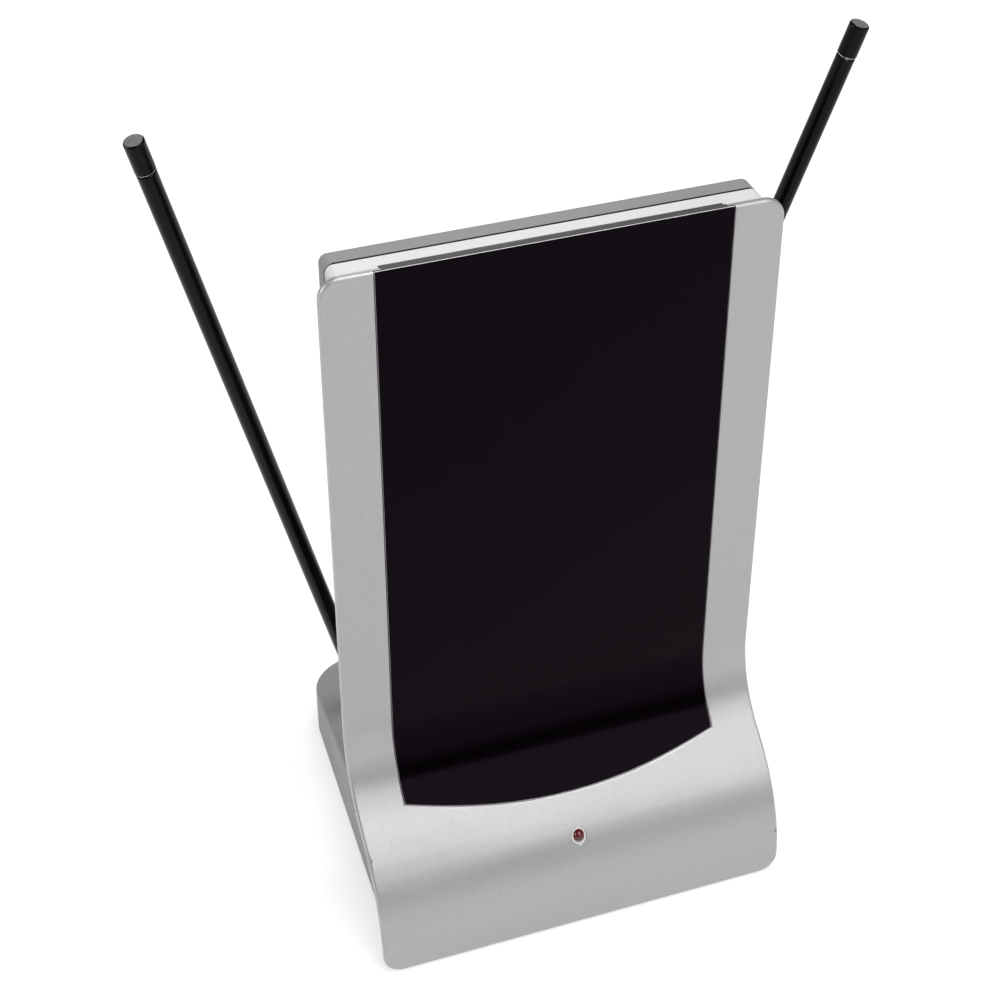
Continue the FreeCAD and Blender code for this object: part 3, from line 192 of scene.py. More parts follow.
class Finish:
    """A material in the making: its Principled shader, its tree and its object coordinates."""

    def __init__(self, name, colour, roughness, metallic=0.0, specular=0.5, pivot=None, turn=None):
        self.material = bpy.data.materials.new(name)
        self.material.use_nodes = True
        self.material.diffuse_color = (*colour, 1.0)
        self.tree = self.material.node_tree
        self.shader = self.tree.nodes["Principled BSDF"]
        self.colour, self.roughness = colour, roughness
        self.set("Base Color", (*colour, 1.0))
        self.set("Roughness", roughness)
        self.set("Metallic", metallic)
        self.set("Specular IOR Level", specular)
        self.place = object_place(self.tree, pivot, turn)

    def set(self, socket, value):
        self.shader.inputs[socket].default_value = value

    def tone(self, *factors):
        """Base colour times factors that change over the surface."""
        product = factors[0]
        for factor in factors[1:]:
            product = maths(self.tree, "MULTIPLY", product, factor)
        scaled = node(self.tree, "ShaderNodeVectorMath", operation="SCALE")
        scaled.inputs[0].default_value = self.colour
        self.tree.links.new(product, scaled.inputs["Scale"])
        self.tree.links.new(scaled.outputs[0], self.shader.inputs["Base Color"])

    def gloss(self, *offsets):
        """Roughness plus offsets that change over the surface."""
        total = offsets[0]
        for offset in offsets[1:]:
            total = maths(self.tree, "ADD", total, offset)
        self.tree.links.new(maths(self.tree, "ADD", total, self.roughness), self.shader.inputs["Roughness"])

    def relief(self, height, distance, strength=1.0):
        bump = node(self.tree, "ShaderNodeBump")
        bump.inputs["Strength"].default_value = strength
        bump.inputs["Distance"].default_value = distance
        self.tree.links.new(height, bump.inputs["Height"])
        self.tree.links.new(bump.outputs["Normal"], self.shader.inputs["Normal"])


# Finishes of this antenna's pieces

def silver_lacquer(name):
    finish = Finish(name, (0.446, 0.443, 0.447), 0.34, metallic=0.5)
    flake = use(finish.tree, "metal_flake", finish.place, Scale=4200.0, Spread=0.08)
    grain = use(finish.tree, "moulded_grain", finish.place, Scale=2000.0, Drift=0.012)
    marks = use(finish.tree, "handling_marks", finish.place, Amount=0.05)
    finish.tone(flake["Tone"], grain["Tone"])
    finish.gloss(grain["Gloss"], marks["Gloss"])
    finish.relief(flake["Height"], 0.012 * MM, 0.25)
    return finish.material


def gloss_black(name):
    finish = Finish(name, (0.0014, 0.0007, 0.0014), 0.14, specular=0.05)
    finish.set("Specular Tint", (1.0, 0.62, 1.0, 1.0))
    marks = use(finish.tree, "handling_marks", finish.place, Amount=0.05)
    grain = use(finish.tree, "moulded_grain", finish.place, Scale=300.0, Drift=0.08)
    finish.tone(grain["Tone"])
    finish.gloss(marks["Gloss"])
    finish.relief(grain["Height"], 0.01 * MM, 0.06)
    return finish.material


def moulded(name, colour, roughness, depth=0.04, scale=1500.0, specular=0.4):
    finish = Finish(name, colour, roughness, specular=specular)
    grain = use(finish.tree, "moulded_grain", finish.place, Scale=scale, Drift=0.04)
    marks = use(finish.tree, "handling_marks", finish.place, Amount=0.10)
    finish.tone(grain["Tone"])
    finish.gloss(grain["Gloss"], marks["Gloss"])
    finish.relief(grain["Height"], depth * MM, 0.5)
    return finish.material


def plated(name, colour, roughness, pivot=None, turn=None):
    finish = Finish(name, colour, roughness, metallic=1.0, pivot=pivot, turn=turn)
    lines = use(finish.tree, "drawn_lines", finish.place, Scale=1100.0)
    marks = use(finish.tree, "handling_marks", finish.place, Amount=0.12)
    finish.tone(lines["Tone"])
    finish.gloss(marks["Gloss"])
    finish.relief(lines["Height"], 0.01 * MM, 0.3)
    return finish.material


def rod_black(name, pivot, turn):
    finish = Finish(name, (0.0009, 0.0008, 0.0008), 0.18, specular=0.12, pivot=pivot, turn=turn)
    lines = use(finish.tree, "drawn_lines", finish.place, Scale=700.0)
    marks = use(finish.tree, "handling_marks", finish.place, Amount=0.12)
    finish.tone(lines["Tone"])
    finish.gloss(marks["Gloss"])
    finish.relief(lines["Height"], 0.008 * MM, 0.25)
    return finish.material


def red_lens(name):
    finish = Finish(name, (0.110, 0.003, 0.006), 0.05, specular=0.6)
    grain = use(finish.tree, "moulded_grain", finish.place, Scale=500.0, Drift=0.15)
    finish.tone(grain["Tone"])
    finish.gloss(grain["Gloss"])
    return finish.material


def circuit_board(name):
    finish = Finish(name, (0.020, 0.130, 0.045), 0.35)
    grain = use(finish.tree, "moulded_grain", finish.place, Scale=700.0, Drift=0.12)
    finish.tone(grain["Tone"])
    finish.gloss(grain["Gloss"])
    finish.relief(grain["Height"], 0.02 * MM, 0.4)
    return finish.material


def rod_frame(side):
    """Pivot and turn of a rod's own axes, Z along the rod."""
    joint = joints[side + "_fold"]
    along = Vector(joints[side + "_middle_slide"]["axis"])
    tilt = math.acos(along.z)
    bearing = math.atan2(along.y, along.x)
    return Vector(joint["pos_m"]), Euler((0.0, tilt, bearing))


FINISHES = {
    "silver_plastic": silver_lacquer("silver_lacquer"),
    "black_panel": gloss_black("gloss_black_panel"),
    "grey_cover": moulded("grey_cover_plastic", (0.250, 0.247, 0.242), 0.5),
    "grey_base": moulded("grey_base_plastic", (0.290, 0.284, 0.276), 0.5),
    "grey_plate": moulded("grey_plate_plastic", (0.22, 0.215, 0.205), 0.6, depth=0.08, scale=900.0),
    "plain_steel": plated("rolled_steel", (0.42, 0.42, 0.43), 0.38),
    "green_board": circuit_board("coated_board"),
    "tinned_steel": plated("tinned_steel", (0.66, 0.66, 0.64), 0.3),
    "black_plastic": moulded("black_nylon", (0.016, 0.016, 0.017), 0.42, depth=0.03),
    "plated_metal": plated("nickel_plate", (0.68, 0.66, 0.62), 0.2),
    "red_lens": red_lens("red_lamp_lens"),
    "copper": plated("bare_copper", (0.72, 0.36, 0.2), 0.28),
    "lead_cover": moulded("lead_cover", (0.02, 0.02, 0.02), 0.5, depth=0.02),
    "screw_steel": plated("zinc_plate", (0.46, 0.46, 0.47), 0.3),
    "brass_contact": plated("contact_brass", (0.70, 0.52, 0.22), 0.3),
    "foot_rubber": moulded("foot_rubber", (0.022, 0.022, 0.022), 0.8, depth=0.06, scale=2200.0,
                           specular=0.25),
}
ROD_FINISHES = {}
for side in ("left", "right"):
    pivot, turn = rod_frame(side)
    ROD_FINISHES[side] = {
        "black_metal": rod_black("rod_black_" + side, pivot, turn),
        "black_cap": rod_black("cap_black_" + side, pivot, turn),
        "bright_tube": plated("bright_tube_" + side, (0.74, 0.74, 0.75), 0.12, pivot, turn),
    }


def finish_for(name):
    side = name.split("_")[0]
    return ROD_FINISHES.get(side, {}).get(slots[name]) or FINISHES[slots[name]]


for name, piece in nodes.items():
    piece.data.materials.clear()
    piece.data.materials.append(finish_for(name))


# Modelling helpers

FACE_Y = -37.5121 * MM
BEND_Z, SWEEP_RADIUS, SWEEP_ANGLE = 75.1 * MM, 37.0 * MM, math.radians(54.0)
TOE_PLACE, TOE_RADIUS = Vector((0.0, FACE_Y + 13.785 * MM, 5.201 * MM)), 49.4 * MM
SHEET, PANEL_SINK, PANEL_LEAF = 2.2 * MM, 0.15 * MM, 1.0 * MM
BASE_REAR = FACE_Y + 100.0 * MM
LAMP_Z, LAMP_ROOM = 32.1 * MM, 3.2 * MM
PARTING = 9.6 * MM
NEAR, OUTER = 0.06 * MM, 0.1 * MM  # how close a place lies to a surface or an outer side to count as on it


def face_depth(place):
    """How far behind the swept silver face a place is."""
    back, down = place.y - FACE_Y, BEND_Z - place.z
    if down <= 0.0:
        return back
    if math.atan2(down, back + SWEEP_RADIUS) <= SWEEP_ANGLE:
        return math.hypot(back + SWEEP_RADIUS, down) - SWEEP_RADIUS
    return TOE_RADIUS - math.hypot(place.y - TOE_PLACE.y, place.z - TOE_PLACE.z)


def only(piece):
    bpy.ops.object.select_all(action="DESELECT")
    piece.select_set(True)
    bpy.context.view_layer.objects.active = piece


def shape(piece, elements="EDGE"):
    """Opens a piece for modelling with nothing selected."""
    only(piece)
    bpy.ops.object.mode_set(mode="EDIT")
    bpy.ops.mesh.select_mode(type=elements)
    bpy.ops.mesh.select_all(action="DESELECT")


def shaped():
    bpy.ops.object.mode_set(mode="OBJECT")


def pick_edges(piece, test):
    """Selects the edges of an open piece that a test wants."""
    mesh = bmesh.from_edit_mesh(piece.data)
    for edge in mesh.edges:
        edge.select_set(len(edge.link_faces) == 2 and test(edge))
    bmesh.update_edit_mesh(piece.data)


def pick_faces(piece, test):
    mesh = bmesh.from_edit_mesh(piece.data)
    for face in mesh.faces:
        face.select_set(test(face))
    bmesh.update_edit_mesh(piece.data)


def middle(edge):
    return (edge.verts[0].co + edge.verts[1].co) / 2


def is_sharp(edge):
    return edge.calc_face_angle() > math.radians(30.0)


def smooth(piece, angle=30.0):
    only(piece)
    bpy.ops.object.shade_smooth_by_angle(angle=math.radians(angle))


def even_shading(piece):
    """Lets wide faces keep their own direction where they meet a narrow rounding."""
    only(piece)
    evened = piece.modifiers.new("even_shading", "WEIGHTED_NORMAL")
    evened.keep_sharp = True
    bpy.ops.object.modifier_apply(modifier=evened.name)


def stands_for(piece, name):
    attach(piece, bodies_of[name])
    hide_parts(name)


def named(name):
    """The piece just added, with its name."""
    piece = bpy.context.object
    piece.name = piece.data.name = name
    return piece


def merged_copy(name):
    """A copy of a solid with its triangles joined up, ready for rounding."""
    only(nodes[name])
    bpy.ops.object.duplicate()
    piece = named(name + "_eased")
    shape(piece)
    bpy.ops.mesh.select_all(action="SELECT")
    bpy.ops.mesh.remove_doubles(threshold=0.001 * MM)
    bpy.ops.mesh.dissolve_limited(angle_limit=math.radians(0.2))
    shaped()
    return piece


def eased(name, roundings):
    """A solid with its moulded edges rounded. A rounding is a radius and a test for the edges that get it."""
    piece = merged_copy(name)
    for radius, test in roundings:
        shape(piece)
        pick_edges(piece, lambda edge: is_sharp(edge) and test(edge))
        bpy.ops.mesh.bevel(offset=radius, segments=4, affect="EDGES", clamp_overlap=False)
        shaped()
    smooth(piece)
    even_shading(piece)
    stands_for(piece, name)
    return piece


# Roundings of the face, the panel and the covers

def is_by_lamp(place):
    return math.hypot(place.x, place.z - LAMP_Z) < LAMP_ROOM


def on_front(edge):
    return all(abs(face_depth(vertex.co)) < NEAR for vertex in edge.verts)


def on_face_front(edge):
    return on_front(edge) and not is_by_lamp(middle(edge))


def on_lamp_hole(edge):
    return on_front(edge) and is_by_lamp(middle(edge))


def on_sheet_back(edge):
    place = middle(edge)
    at_border = abs(place.x) > 68.0 * MM or place.z > 239.0 * MM
    return at_border and abs(face_depth(place) - SHEET) < NEAR


def on_panel_front(edge):
    return all(abs(face_depth(vertex.co) - PANEL_SINK) < NEAR for vertex in edge.verts)


def on_cover_outside(edge):
    place, (across, back, up) = middle(edge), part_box("rear_cover")[1]
    return abs(place.x) > across - OUTER or place.z > up - OUTER or place.y > back - OUTER


def on_cover_front(edge):
    return on_cover_outside(edge) and middle(edge).y - FACE_Y < PARTING + 0.5 * MM


def on_cover_back(edge):
    return on_cover_outside(edge) and not on_cover_front(edge)


# Faces of the cover by the parting that get the painted shade.
def is_by_joint(face):
    return face.normal.y < -0.15 and face.calc_center_median().y - FACE_Y < PARTING + 0.84 * MM


def at_depth(face, depth):
    return abs(face.calc_center_median().y - FACE_Y - depth) < 0.05 * MM


def on_base_rear(edge):
    return middle(edge).y > BASE_REAR - OUTER


def any_edge(edge):
    return True


def paint_faces(piece, material, test):
    """Gives the faces that a test wants a finish of their own."""
    piece.data.materials.append(material)
    shape(piece, "FACE")
    pick_faces(piece, test)
    piece.active_material_index = len(piece.data.materials) - 1
    bpy.ops.object.material_slot_assign()
    shaped()


def bar(name, across, depth, up):
    """A straight bar between ends in millimetres, its depth counted from the face, with eased edges."""
    bpy.ops.object.select_all(action="DESELECT")
    bpy.ops.mesh.primitive_cube_add(size=1.0)
    piece = named(name)
    ends = list(zip(across, depth, up))
    piece.scale = [(high - low) * MM for low, high in zip(*ends)]
    piece.location = [(high + low) / 2 * MM for low, high in zip(*ends)]
    piece.location.y += FACE_Y
    bpy.ops.object.transform_apply(location=True, rotation=True, scale=True)
    shape(piece)
    bpy.ops.mesh.select_all(action="SELECT")
    bpy.ops.mesh.bevel(offset=0.12 * MM, segments=2, affect="EDGES")
    shaped()
    smooth(piece)
    return piece


def panel():
    """The black leaf: a polished front, a rounded edge painted pale as a painted highlight, and a dull cut edge
    behind it.
    """
    piece = eased("screen_panel", [(0.2 * MM, on_panel_front)])
    cut_edge = moulded("panel_cut_edge", (0.055, 0.055, 0.057), 0.5, depth=0.02)
    # Painted highlight: the rounded front edge of the black leaf is painted pale grey to read as a lit line.
    highlight_paint_edge = moulded("panel_painted_highlight_edge", (0.80, 0.80, 0.80), 0.25, depth=0.01)

    def depth(face):
        return face_depth(face.calc_center_median())

    paint_faces(piece, cut_edge, lambda face: depth(face) > PANEL_LEAF)
    paint_faces(piece, highlight_paint_edge, lambda face: PANEL_SINK + 0.05 * MM < depth(face) <= PANEL_LEAF)
    rail = bar("panel_top_rail", (-51.7, 51.7), (2.15, 4.6), (240.2, 240.95))
    rail.data.materials.append(cut_edge)
    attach(rail, "base")


def face():
    """The silver face, lacquered in front; the rim behind it is painted pale as painted light for its bright top
    band, and the rim's back end at the parting gets painted shade.
    """
    piece = eased("front_shell", [
        (0.5 * MM, on_face_front), (0.22 * MM, on_lamp_hole), (0.3 * MM, on_sheet_back)])
    # Painted light: the whole rim is painted pale, so its upward band reads as brightly lit.
    rim_light_paint = moulded("pale_rim_painted_light", (0.66, 0.655, 0.65), 0.4, depth=0.02)
    paint_faces(piece, rim_light_paint, lambda face: face_depth(face.calc_center_median()) > SHEET + 0.05 * MM)
    # Painted shade: the rim's back end at the parting is painted near black for the gap's shadow.
    paint_faces(piece, joint_painted_shade, lambda face: face.normal.y > 0.9 and at_depth(face, PARTING))


def cover():
    """The rear cover, with painted shade on the edge that meets the rim, standing in for the shadow in the parting
    gap.
    """
    piece = eased("rear_cover", [(0.3 * MM, on_cover_back), (0.45 * MM, on_cover_front)])
    paint_faces(piece, joint_painted_shade, is_by_joint)


def tip_cap(side):
    """The cap on a rod: a crown painted lighter grey as a painted highlight, and a bright line where its lower
    edge is worn.
    """
    name, skin = side + "_tip_cap", 3.05 * MM
    pivot, turn = rod_frame(side)
    axis = turn.to_matrix() @ Vector((0.0, 0.0, 1.0))

    def reach(place):
        """How far along the rod a place is, and how far out from its axis."""
        along = (place - pivot).dot(axis)
        return along, (place - pivot - axis * along).length

    spots = [reach(vertex.co) for vertex in nodes[name].data.vertices]
    low = min(along for along, out in spots if out > skin)

    def on_lower_edge(edge):
        ends = [reach(vertex.co) for vertex in edge.verts]
        return all(abs(along - low) < 0.02 * MM and out > skin for along, out in ends)

    def is_worn(face):
        along, out = reach(face.calc_center_median())
        return along < low + 0.24 * MM and out > 2.9 * MM and face.normal.dot(axis) > -0.95

    piece = eased(name, [(0.22 * MM, on_lower_edge)])
    # Painted highlight: the crown is painted a lighter grey than the black cap for the light it catches.
    crown = moulded("cap_crown_painted_highlight_" + side, (0.15, 0.148, 0.146), 0.38, depth=0.01, specular=0.6)
    paint_faces(piece, crown, lambda face: face.normal.dot(axis) > 0.9)
    paint_faces(piece, ROD_FINISHES[side]["bright_tube"], is_worn)


# Painted shade: a near-black finish for the shadow in the parting gap between the rim and the cover.
joint_painted_shade = moulded("joint_painted_shadow", (0.012, 0.012, 0.012), 0.8, specular=0.1)
face()
cover()
panel()
eased("base_housing", [(0.25 * MM, on_base_rear)])
for side in ("left", "right"):
    eased(side + "_post", [(0.2 * MM, any_edge)])
    eased(side + "_rivet", [(0.15 * MM, any_edge)])
    tip_cap(side)
    for end in ("front", "rear"):
        eased("foot_%s_%s" % (end, side), [(0.4 * MM, any_edge)])


# Turned and cut pieces: the collar, the sockets, the nut, the washer and the screws

def turned_piece(name, profile, sides=48):
    """A piece turned about Z: a disc drawn out along a profile of radius and height in millimetres."""
    bpy.ops.object.select_all(action="DESELECT")
    profile = [(radius * MM, height * MM) for radius, height in profile]
    radius, height = profile[0]
    bpy.ops.mesh.primitive_circle_add(vertices=sides, radius=radius, fill_type="NGON",
                                      location=(0.0, 0.0, height))
    piece = named(name)
    bpy.ops.object.transform_apply(location=True, rotation=True, scale=True)
    shape(piece, "FACE")
    bpy.ops.mesh.select_all(action="SELECT")
    for wider, higher in profile[1:]:
        bpy.ops.mesh.extrude_region_move(TRANSFORM_OT_translate={"value": (0.0, 0.0, higher - height)})
        growth = wider / radius
        bpy.ops.transform.resize(value=(growth, growth, 1.0), center_override=(0.0, 0.0, higher))
        radius, height = wider, higher
    bpy.ops.mesh.select_all(action="SELECT")
    bpy.ops.mesh.normals_make_consistent(inside=False)
    shaped()
    return piece


def thread(name, root, crest, pitch, turns, start):
    """A thread's ridge: a flat loop drawn along a helix about Z, and closed at both ends."""
    bpy.ops.object.select_all(action="DESELECT")
    bpy.ops.mesh.primitive_plane_add(size=1.0, location=((root + crest) / 2, 0.0, start),
                                     rotation=(math.pi / 2, 0.0, 0.0))
    ridge = named(name)
    ridge.scale = (crest - root, pitch * 0.9, 1.0)
    bpy.ops.object.transform_apply(location=True, rotation=True, scale=True)
    shape(ridge)
    mesh = bmesh.from_edit_mesh(ridge.data)
    for edge in mesh.edges:
        edge.select_set(middle(edge).x > crest - 0.01 * MM)
    bmesh.update_edit_mesh(ridge.data)
    bpy.ops.transform.resize(value=(1.0, 1.0, 0.18), center_override=(crest, 0.0, start))
    bpy.ops.mesh.select_all(action="SELECT")
    bpy.ops.mesh.delete(type="ONLY_FACE")
    shaped()
    helix = ridge.modifiers.new("helix", "SCREW")
    helix.axis = "Z"
    helix.screw_offset, helix.iterations = pitch, turns
    helix.steps = helix.render_steps = 40
    helix.use_merge_vertices = False
    bpy.ops.object.modifier_apply(modifier=helix.name)
    shape(ridge)
    bpy.ops.mesh.select_all(action="SELECT")
    bpy.ops.mesh.remove_doubles(threshold=0.001 * MM)
    bpy.ops.mesh.fill_holes(sides=4)
    bpy.ops.mesh.select_all(action="SELECT")
    bpy.ops.mesh.normals_make_consistent(inside=False)
    shaped()
    return ridge


def joined(first, *others):
    only(first)
    for other in others:
        other.select_set(True)
    bpy.ops.object.join()
    return first


def cut_away(piece, cutter, operation="DIFFERENCE"):
    only(piece)
    carving = piece.modifiers.new("carving", "BOOLEAN")
    carving.operation, carving.object, carving.solver = operation, cutter, "EXACT"
    bpy.ops.object.modifier_apply(modifier=carving.name)
    bpy.data.objects.remove(cutter, do_unlink=True)


def seated(piece, place, turn=(0.0, 0.0, 0.0)):
    """Moves a piece from where it was modelled to where it belongs, in its mesh."""
    only(piece)
    piece.location, piece.rotation_euler = place, turn
    bpy.ops.object.transform_apply(location=True, rotation=True, scale=True)
    return piece


def finished(piece, name, angle=30.0):
    piece.data.materials.clear()
    piece.data.materials.append(finish_for(name))
    smooth(piece, angle)
    stands_for(piece, name)


def lamp_hole_highlight_collar():
    """The collar that fills the lamp's hole, cut off just under the sloping face, painted pale as a painted
    highlight for the lit lower wall of the hole.
    """
    ring = turned_piece("lamp_hole_highlight_collar", [(2.46, 0.0), (2.46, 5.0)])
    bore = turned_piece("collar_bore", [(1.94, -1.0), (1.94, 6.0)])
    cut_away(ring, bore)
    slope = math.asin((LAMP_Z - TOE_PLACE.z) / TOE_RADIUS)
    front = TOE_PLACE.y - TOE_RADIUS * math.cos(slope)
    seated(ring, (0.0, front + 2.5 * MM, LAMP_Z), (math.pi / 2, 0.0, 0.0))
    outward = Vector((0.0, -math.cos(slope), math.sin(slope)))
    shape(ring)
    bpy.ops.mesh.select_all(action="SELECT")
    cut_place = Vector((0.0, front, LAMP_Z)) - outward * 0.25 * MM
    bpy.ops.mesh.bisect(plane_co=cut_place, plane_no=outward, use_fill=True, clear_outer=True)
    shaped()
    ring.data.materials.clear()
    # Painted highlight: the collar's pale colour stands in for light falling on the hole's lower wall.
    ring.data.materials.append(moulded("collar_painted_highlight", (0.80, 0.79, 0.78), 0.3, depth=0.01))
    smooth(ring)
    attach(ring, "base")


TO_REAR, TO_FLOOR = (-math.pi / 2, 0.0, 0.0), (math.pi, 0.0, 0.0)
SOCKET_X, SOCKET_Z = 17.0 * MM, 10.2 * MM
COAX_PLACE = (SOCKET_X, BASE_REAR, SOCKET_Z)
COVER_SEAT, PLATE_SEAT = FACE_Y + 15.8 * MM, 2.9 * MM


def threaded_socket():
    """The aerial socket: a threaded barrel with a sunk insulator and a contact hole in its middle."""
    barrel = turned_piece("coax_barrel", [
        (3.1, -9.5), (3.1, -3.5), (5.4, -3.5), (5.4, -2.0),
        (4.5, -2.0), (4.5, 3.0), (4.4, 3.2), (4.4, 10.7),
        (4.1, 11.0), (3.3, 11.0), (3.1, 10.8), (3.1, 10.2)])
    ridge = thread("coax_thread", 4.3 * MM, 4.7625 * MM, 0.794 * MM, 9, 3.4 * MM)
    piece = seated(joined(barrel, ridge), COAX_PLACE, TO_REAR)
    finished(piece, "coax_socket")
    core = turned_piece("coax_insulator", [
        (3.08, 10.0), (3.08, 10.45), (2.9, 10.6), (0.9, 10.6),
        (0.62, 10.45), (0.62, 10.1)])
    seated(core, COAX_PLACE, TO_REAR)
    core.data.materials.append(FINISHES["black_plastic"])
    smooth(core)
    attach(core, "base")


def socket_nut():
    """The hexagon nut, its corners turned off on both sides."""
    bpy.ops.object.select_all(action="DESELECT")
    bpy.ops.mesh.primitive_cylinder_add(vertices=6, radius=6.409 * MM, depth=2.4 * MM,
                                        location=(0.0, 0.0, 1.8 * MM), rotation=(0.0, 0.0, math.pi / 6))
    nut = named("socket_nut")
    bpy.ops.object.transform_apply(location=True, rotation=True, scale=True)
    corners = turned_piece("nut_corners", [
        (5.45, 0.55), (6.6, 1.15), (6.6, 2.45), (5.45, 3.05)])
    cut_away(nut, corners, "INTERSECT")
    bore = turned_piece("nut_bore", [
        (4.9, 0.0), (4.52, 0.95), (4.52, 2.65), (4.9, 3.6)])
    cut_away(nut, bore)
    seated(nut, COAX_PLACE, TO_REAR)
    finished(nut, "coax_nut")


def toothed_washer():
    """The lock washer: a ring whose outer teeth are raised on every other step."""
    washer = turned_piece("toothed_washer", [(5.5, 0.1), (5.5, 0.5)])
    shape(washer, "FACE")
    sides = [face for face in bmesh.from_edit_mesh(washer.data).faces if abs(face.normal.z) < 0.5]
    sides.sort(key=lambda face: math.atan2(face.calc_center_median().y, face.calc_center_median().x))
    for number, face in enumerate(sides):
        face.select_set(number % 4 < 2)
    bmesh.update_edit_mesh(washer.data)
    bpy.ops.mesh.extrude_region_shrink_fatten(TRANSFORM_OT_shrink_fatten={"value": 0.65 * MM})
    shaped()
    bore = turned_piece("washer_bore", [(4.65, -0.5), (4.65, 1.5)])
    cut_away(washer, bore)
    seated(washer, COAX_PLACE, TO_REAR)
    finished(washer, "coax_washer")


def supply_socket():
    """The barrel socket with its bright centre pin."""
    piece = eased("power_socket", [(0.2 * MM, on_base_rear)])
    axis = Vector((-SOCKET_X, 0.0, SOCKET_Z))

    def is_pin(face):
        off = face.calc_center_median() - axis
        return math.hypot(off.x, off.z) < 0.75 * MM

    paint_faces(piece, FINISHES["plated_metal"], is_pin)


def cross_screw():
    """A pan-head screw about Z with a cross recess, modelled once."""
    screw = turned_piece("cross_screw", [
        (0.2, -8.0), (1.2, -6.8), (1.2, 0.0), (2.4, 0.0), (2.4, 0.45),
        (2.3, 0.75), (2.0, 1.02), (1.5, 1.19), (0.8, 1.29)], 40)
    for turn in (0.0, math.pi / 2):
        bpy.ops.object.select_all(action="DESELECT")
        bpy.ops.mesh.primitive_cube_add(size=1.0, location=(0.0, 0.0, 1.1 * MM), rotation=(0.0, 0.0, turn))
        slot = named("recess")
        slot.scale = (2.6 * MM, 0.55 * MM, 1.4 * MM)
        bpy.ops.object.transform_apply(location=True, rotation=True, scale=True)
        shape(slot, "FACE")
        pick_faces(slot, lambda face: face.normal.z < -0.5)
        bpy.ops.transform.resize(value=(0.45, 0.45, 1.0), center_override=(0.0, 0.0, 0.4 * MM))
        shaped()
        cut_away(screw, slot)
    return screw


def set_screws(pattern, name, places, turn):
    """Copies of the one screw at a set's places, each copy turned a little as a driver leaves it."""
    for number, place in enumerate(places, 1):
        only(pattern)
        bpy.ops.object.duplicate()
        piece = named("%s_%d" % (name, number))
        spun = Euler(turn).to_matrix() @ Euler((0.0, 0.0, 0.7 * number)).to_matrix()
        seated(piece, place, spun.to_euler())
        finished(piece, name)


def outside_screws():
    """The screws that show: four in the rear cover and four under the base."""
    pattern = cross_screw()
    cover_spots = [(side * 57.9 * MM, COVER_SEAT, up * MM) for side in (-1, 1) for up in (100.0, 221.8)]
    set_screws(pattern, "cover_screws", cover_spots, TO_REAR)
    base_spots = [(side * across * MM, FACE_Y + back * MM, PLATE_SEAT)
                  for side in (-1, 1) for across, back in ((52.0, 2.0), (47.5, 88.0))]
    set_screws(pattern, "base_screws", base_spots, TO_FLOOR)
    bpy.data.objects.remove(pattern, do_unlink=True)


lamp_hole_highlight_collar()
threaded_socket()
socket_nut()
toothed_washer()
supply_socket()
outside_screws()


# Stage, light and camera

CAMERA_PLACE, CAMERA_FALL, CAMERA_TURN = (-0.19245, -0.52340, 0.54529), 37.08, -19.79


def seen(tree):
    """1 for rays that the camera sends out, and 1 for rays that a reflection or a lens sends out."""
    path = node(tree, "ShaderNodeLightPath")
    mirrored = maths(tree, "MAXIMUM", path.outputs["Is Glossy Ray"], path.outputs["Is Transmission Ray"])
    return path.outputs["Is Camera Ray"], mirrored


def studio_white(level, lift):
    """A pale surface that looks white where nothing shades it, and far off, where no shadow falls."""
    material = bpy.data.materials.new("studio_floor")
    material.use_nodes = True
    tree = material.node_tree
    shader = tree.nodes["Principled BSDF"]
    shader.inputs["Base Color"].default_value = (level, level, level, 1.0)
    shader.inputs["Roughness"].default_value = 0.9
    shader.inputs["Specular IOR Level"].default_value = 0.0
    shader.inputs["Emission Color"].default_value = (1.0, 1.0, 1.0, 1.0)
    straight, mirrored = seen(tree)
    reach = node(tree, "ShaderNodeVectorMath", operation="LENGTH")
    tree.links.new(node(tree, "ShaderNodeTexCoord").outputs["Object"], reach.inputs[0])
    near_to_far = span(tree, reach.outputs["Value"], 0.35, 1.10, lift, 1.0)
    watched = maths(tree, "MULTIPLY", straight, near_to_far)
    glow = maths(tree, "MAXIMUM", watched, maths(tree, "MULTIPLY", mirrored, lift))
    tree.links.new(glow, shader.inputs["Emission Strength"])
    return material


def floor():
    bpy.ops.object.select_all(action="DESELECT")
    bpy.ops.mesh.primitive_plane_add(size=12.0, location=(0, 0, 0))
    ground = bpy.context.object
    ground.name = "studio_floor"
    ground.data.materials.append(studio_white(level=0.54, lift=0.60))


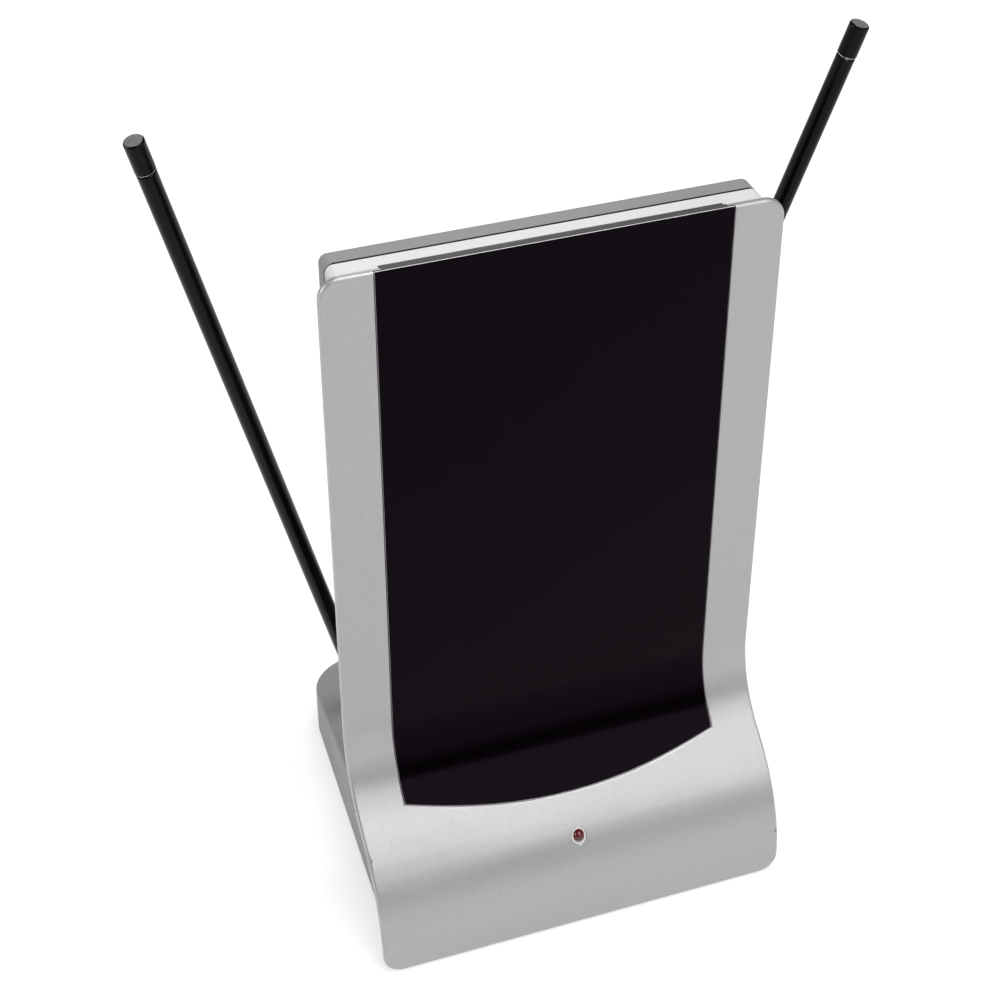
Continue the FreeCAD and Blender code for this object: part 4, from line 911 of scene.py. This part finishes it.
def world_light(level):
    """A white surround. The room is dim overhead, so what is mirrored is white low down and fades above."""
    world = bpy.data.worlds.new("studio")
    world.use_nodes = True
    bpy.context.scene.world = world
    tree = world.node_tree
    backdrop = tree.nodes["Background"]
    backdrop.inputs["Color"].default_value = (1.0, 1.0, 1.0, 1.0)
    straight, mirrored = seen(tree)
    aim = node(tree, "ShaderNodeSeparateXYZ")
    tree.links.new(node(tree, "ShaderNodeTexCoord").outputs["Generated"], aim.inputs[0])
    fade = maths(tree, "MULTIPLY", mirrored, span(tree, aim.outputs["Z"], 0.0, 0.12, 1.0, 0.0))
    strength = span(tree, maths(tree, "MAXIMUM", straight, fade), 0.0, 1.0, level, 1.0)
    tree.links.new(strength, backdrop.inputs["Strength"])


def soft_lamp(name, place, aim, size, watts):
    light = bpy.data.lights.new(name, "AREA")
    light.shape = "RECTANGLE"
    light.size, light.size_y = size
    light.energy = watts
    lamp = bpy.data.objects.new(name, light)
    bpy.context.scene.collection.objects.link(lamp)
    lamp.location = place
    lamp.rotation_euler = (Vector(aim) - Vector(place)).to_track_quat("-Z", "Y").to_euler()


def camera():
    data = bpy.data.cameras.new("photo_camera")
    data.lens, data.sensor_width = 77.508, 36.0
    data.clip_start, data.clip_end = 0.01, 50.0
    made = bpy.data.objects.new("photo_camera", data)
    bpy.context.scene.collection.objects.link(made)
    made.location = CAMERA_PLACE
    made.rotation_euler = (math.radians(90.0 - CAMERA_FALL), 0.0, math.radians(CAMERA_TURN))
    bpy.context.scene.camera = made


floor()
world_light(level=0.10)
soft_lamp("overhead", (0.12, -0.16, 1.60), (0.0, 0.0, 0.10), (1.1, 0.6), 13.0)
soft_lamp("front_box", (0.44, -1.00, 1.06), (0.0, 0.0, 0.06), (1.4, 1.30), 12.4)
soft_lamp("left_fill", (-1.60, 0.30, 0.80), (0.0, 0.0, 0.10), (0.8, 0.8), 14.0)
soft_lamp("rear_fill", (0.35, 1.75, 0.85), (0.0, 0.0, 0.10), (0.8, 0.8), 5.0)
camera()
bpy.context.scene.view_settings.view_transform = "Standard"
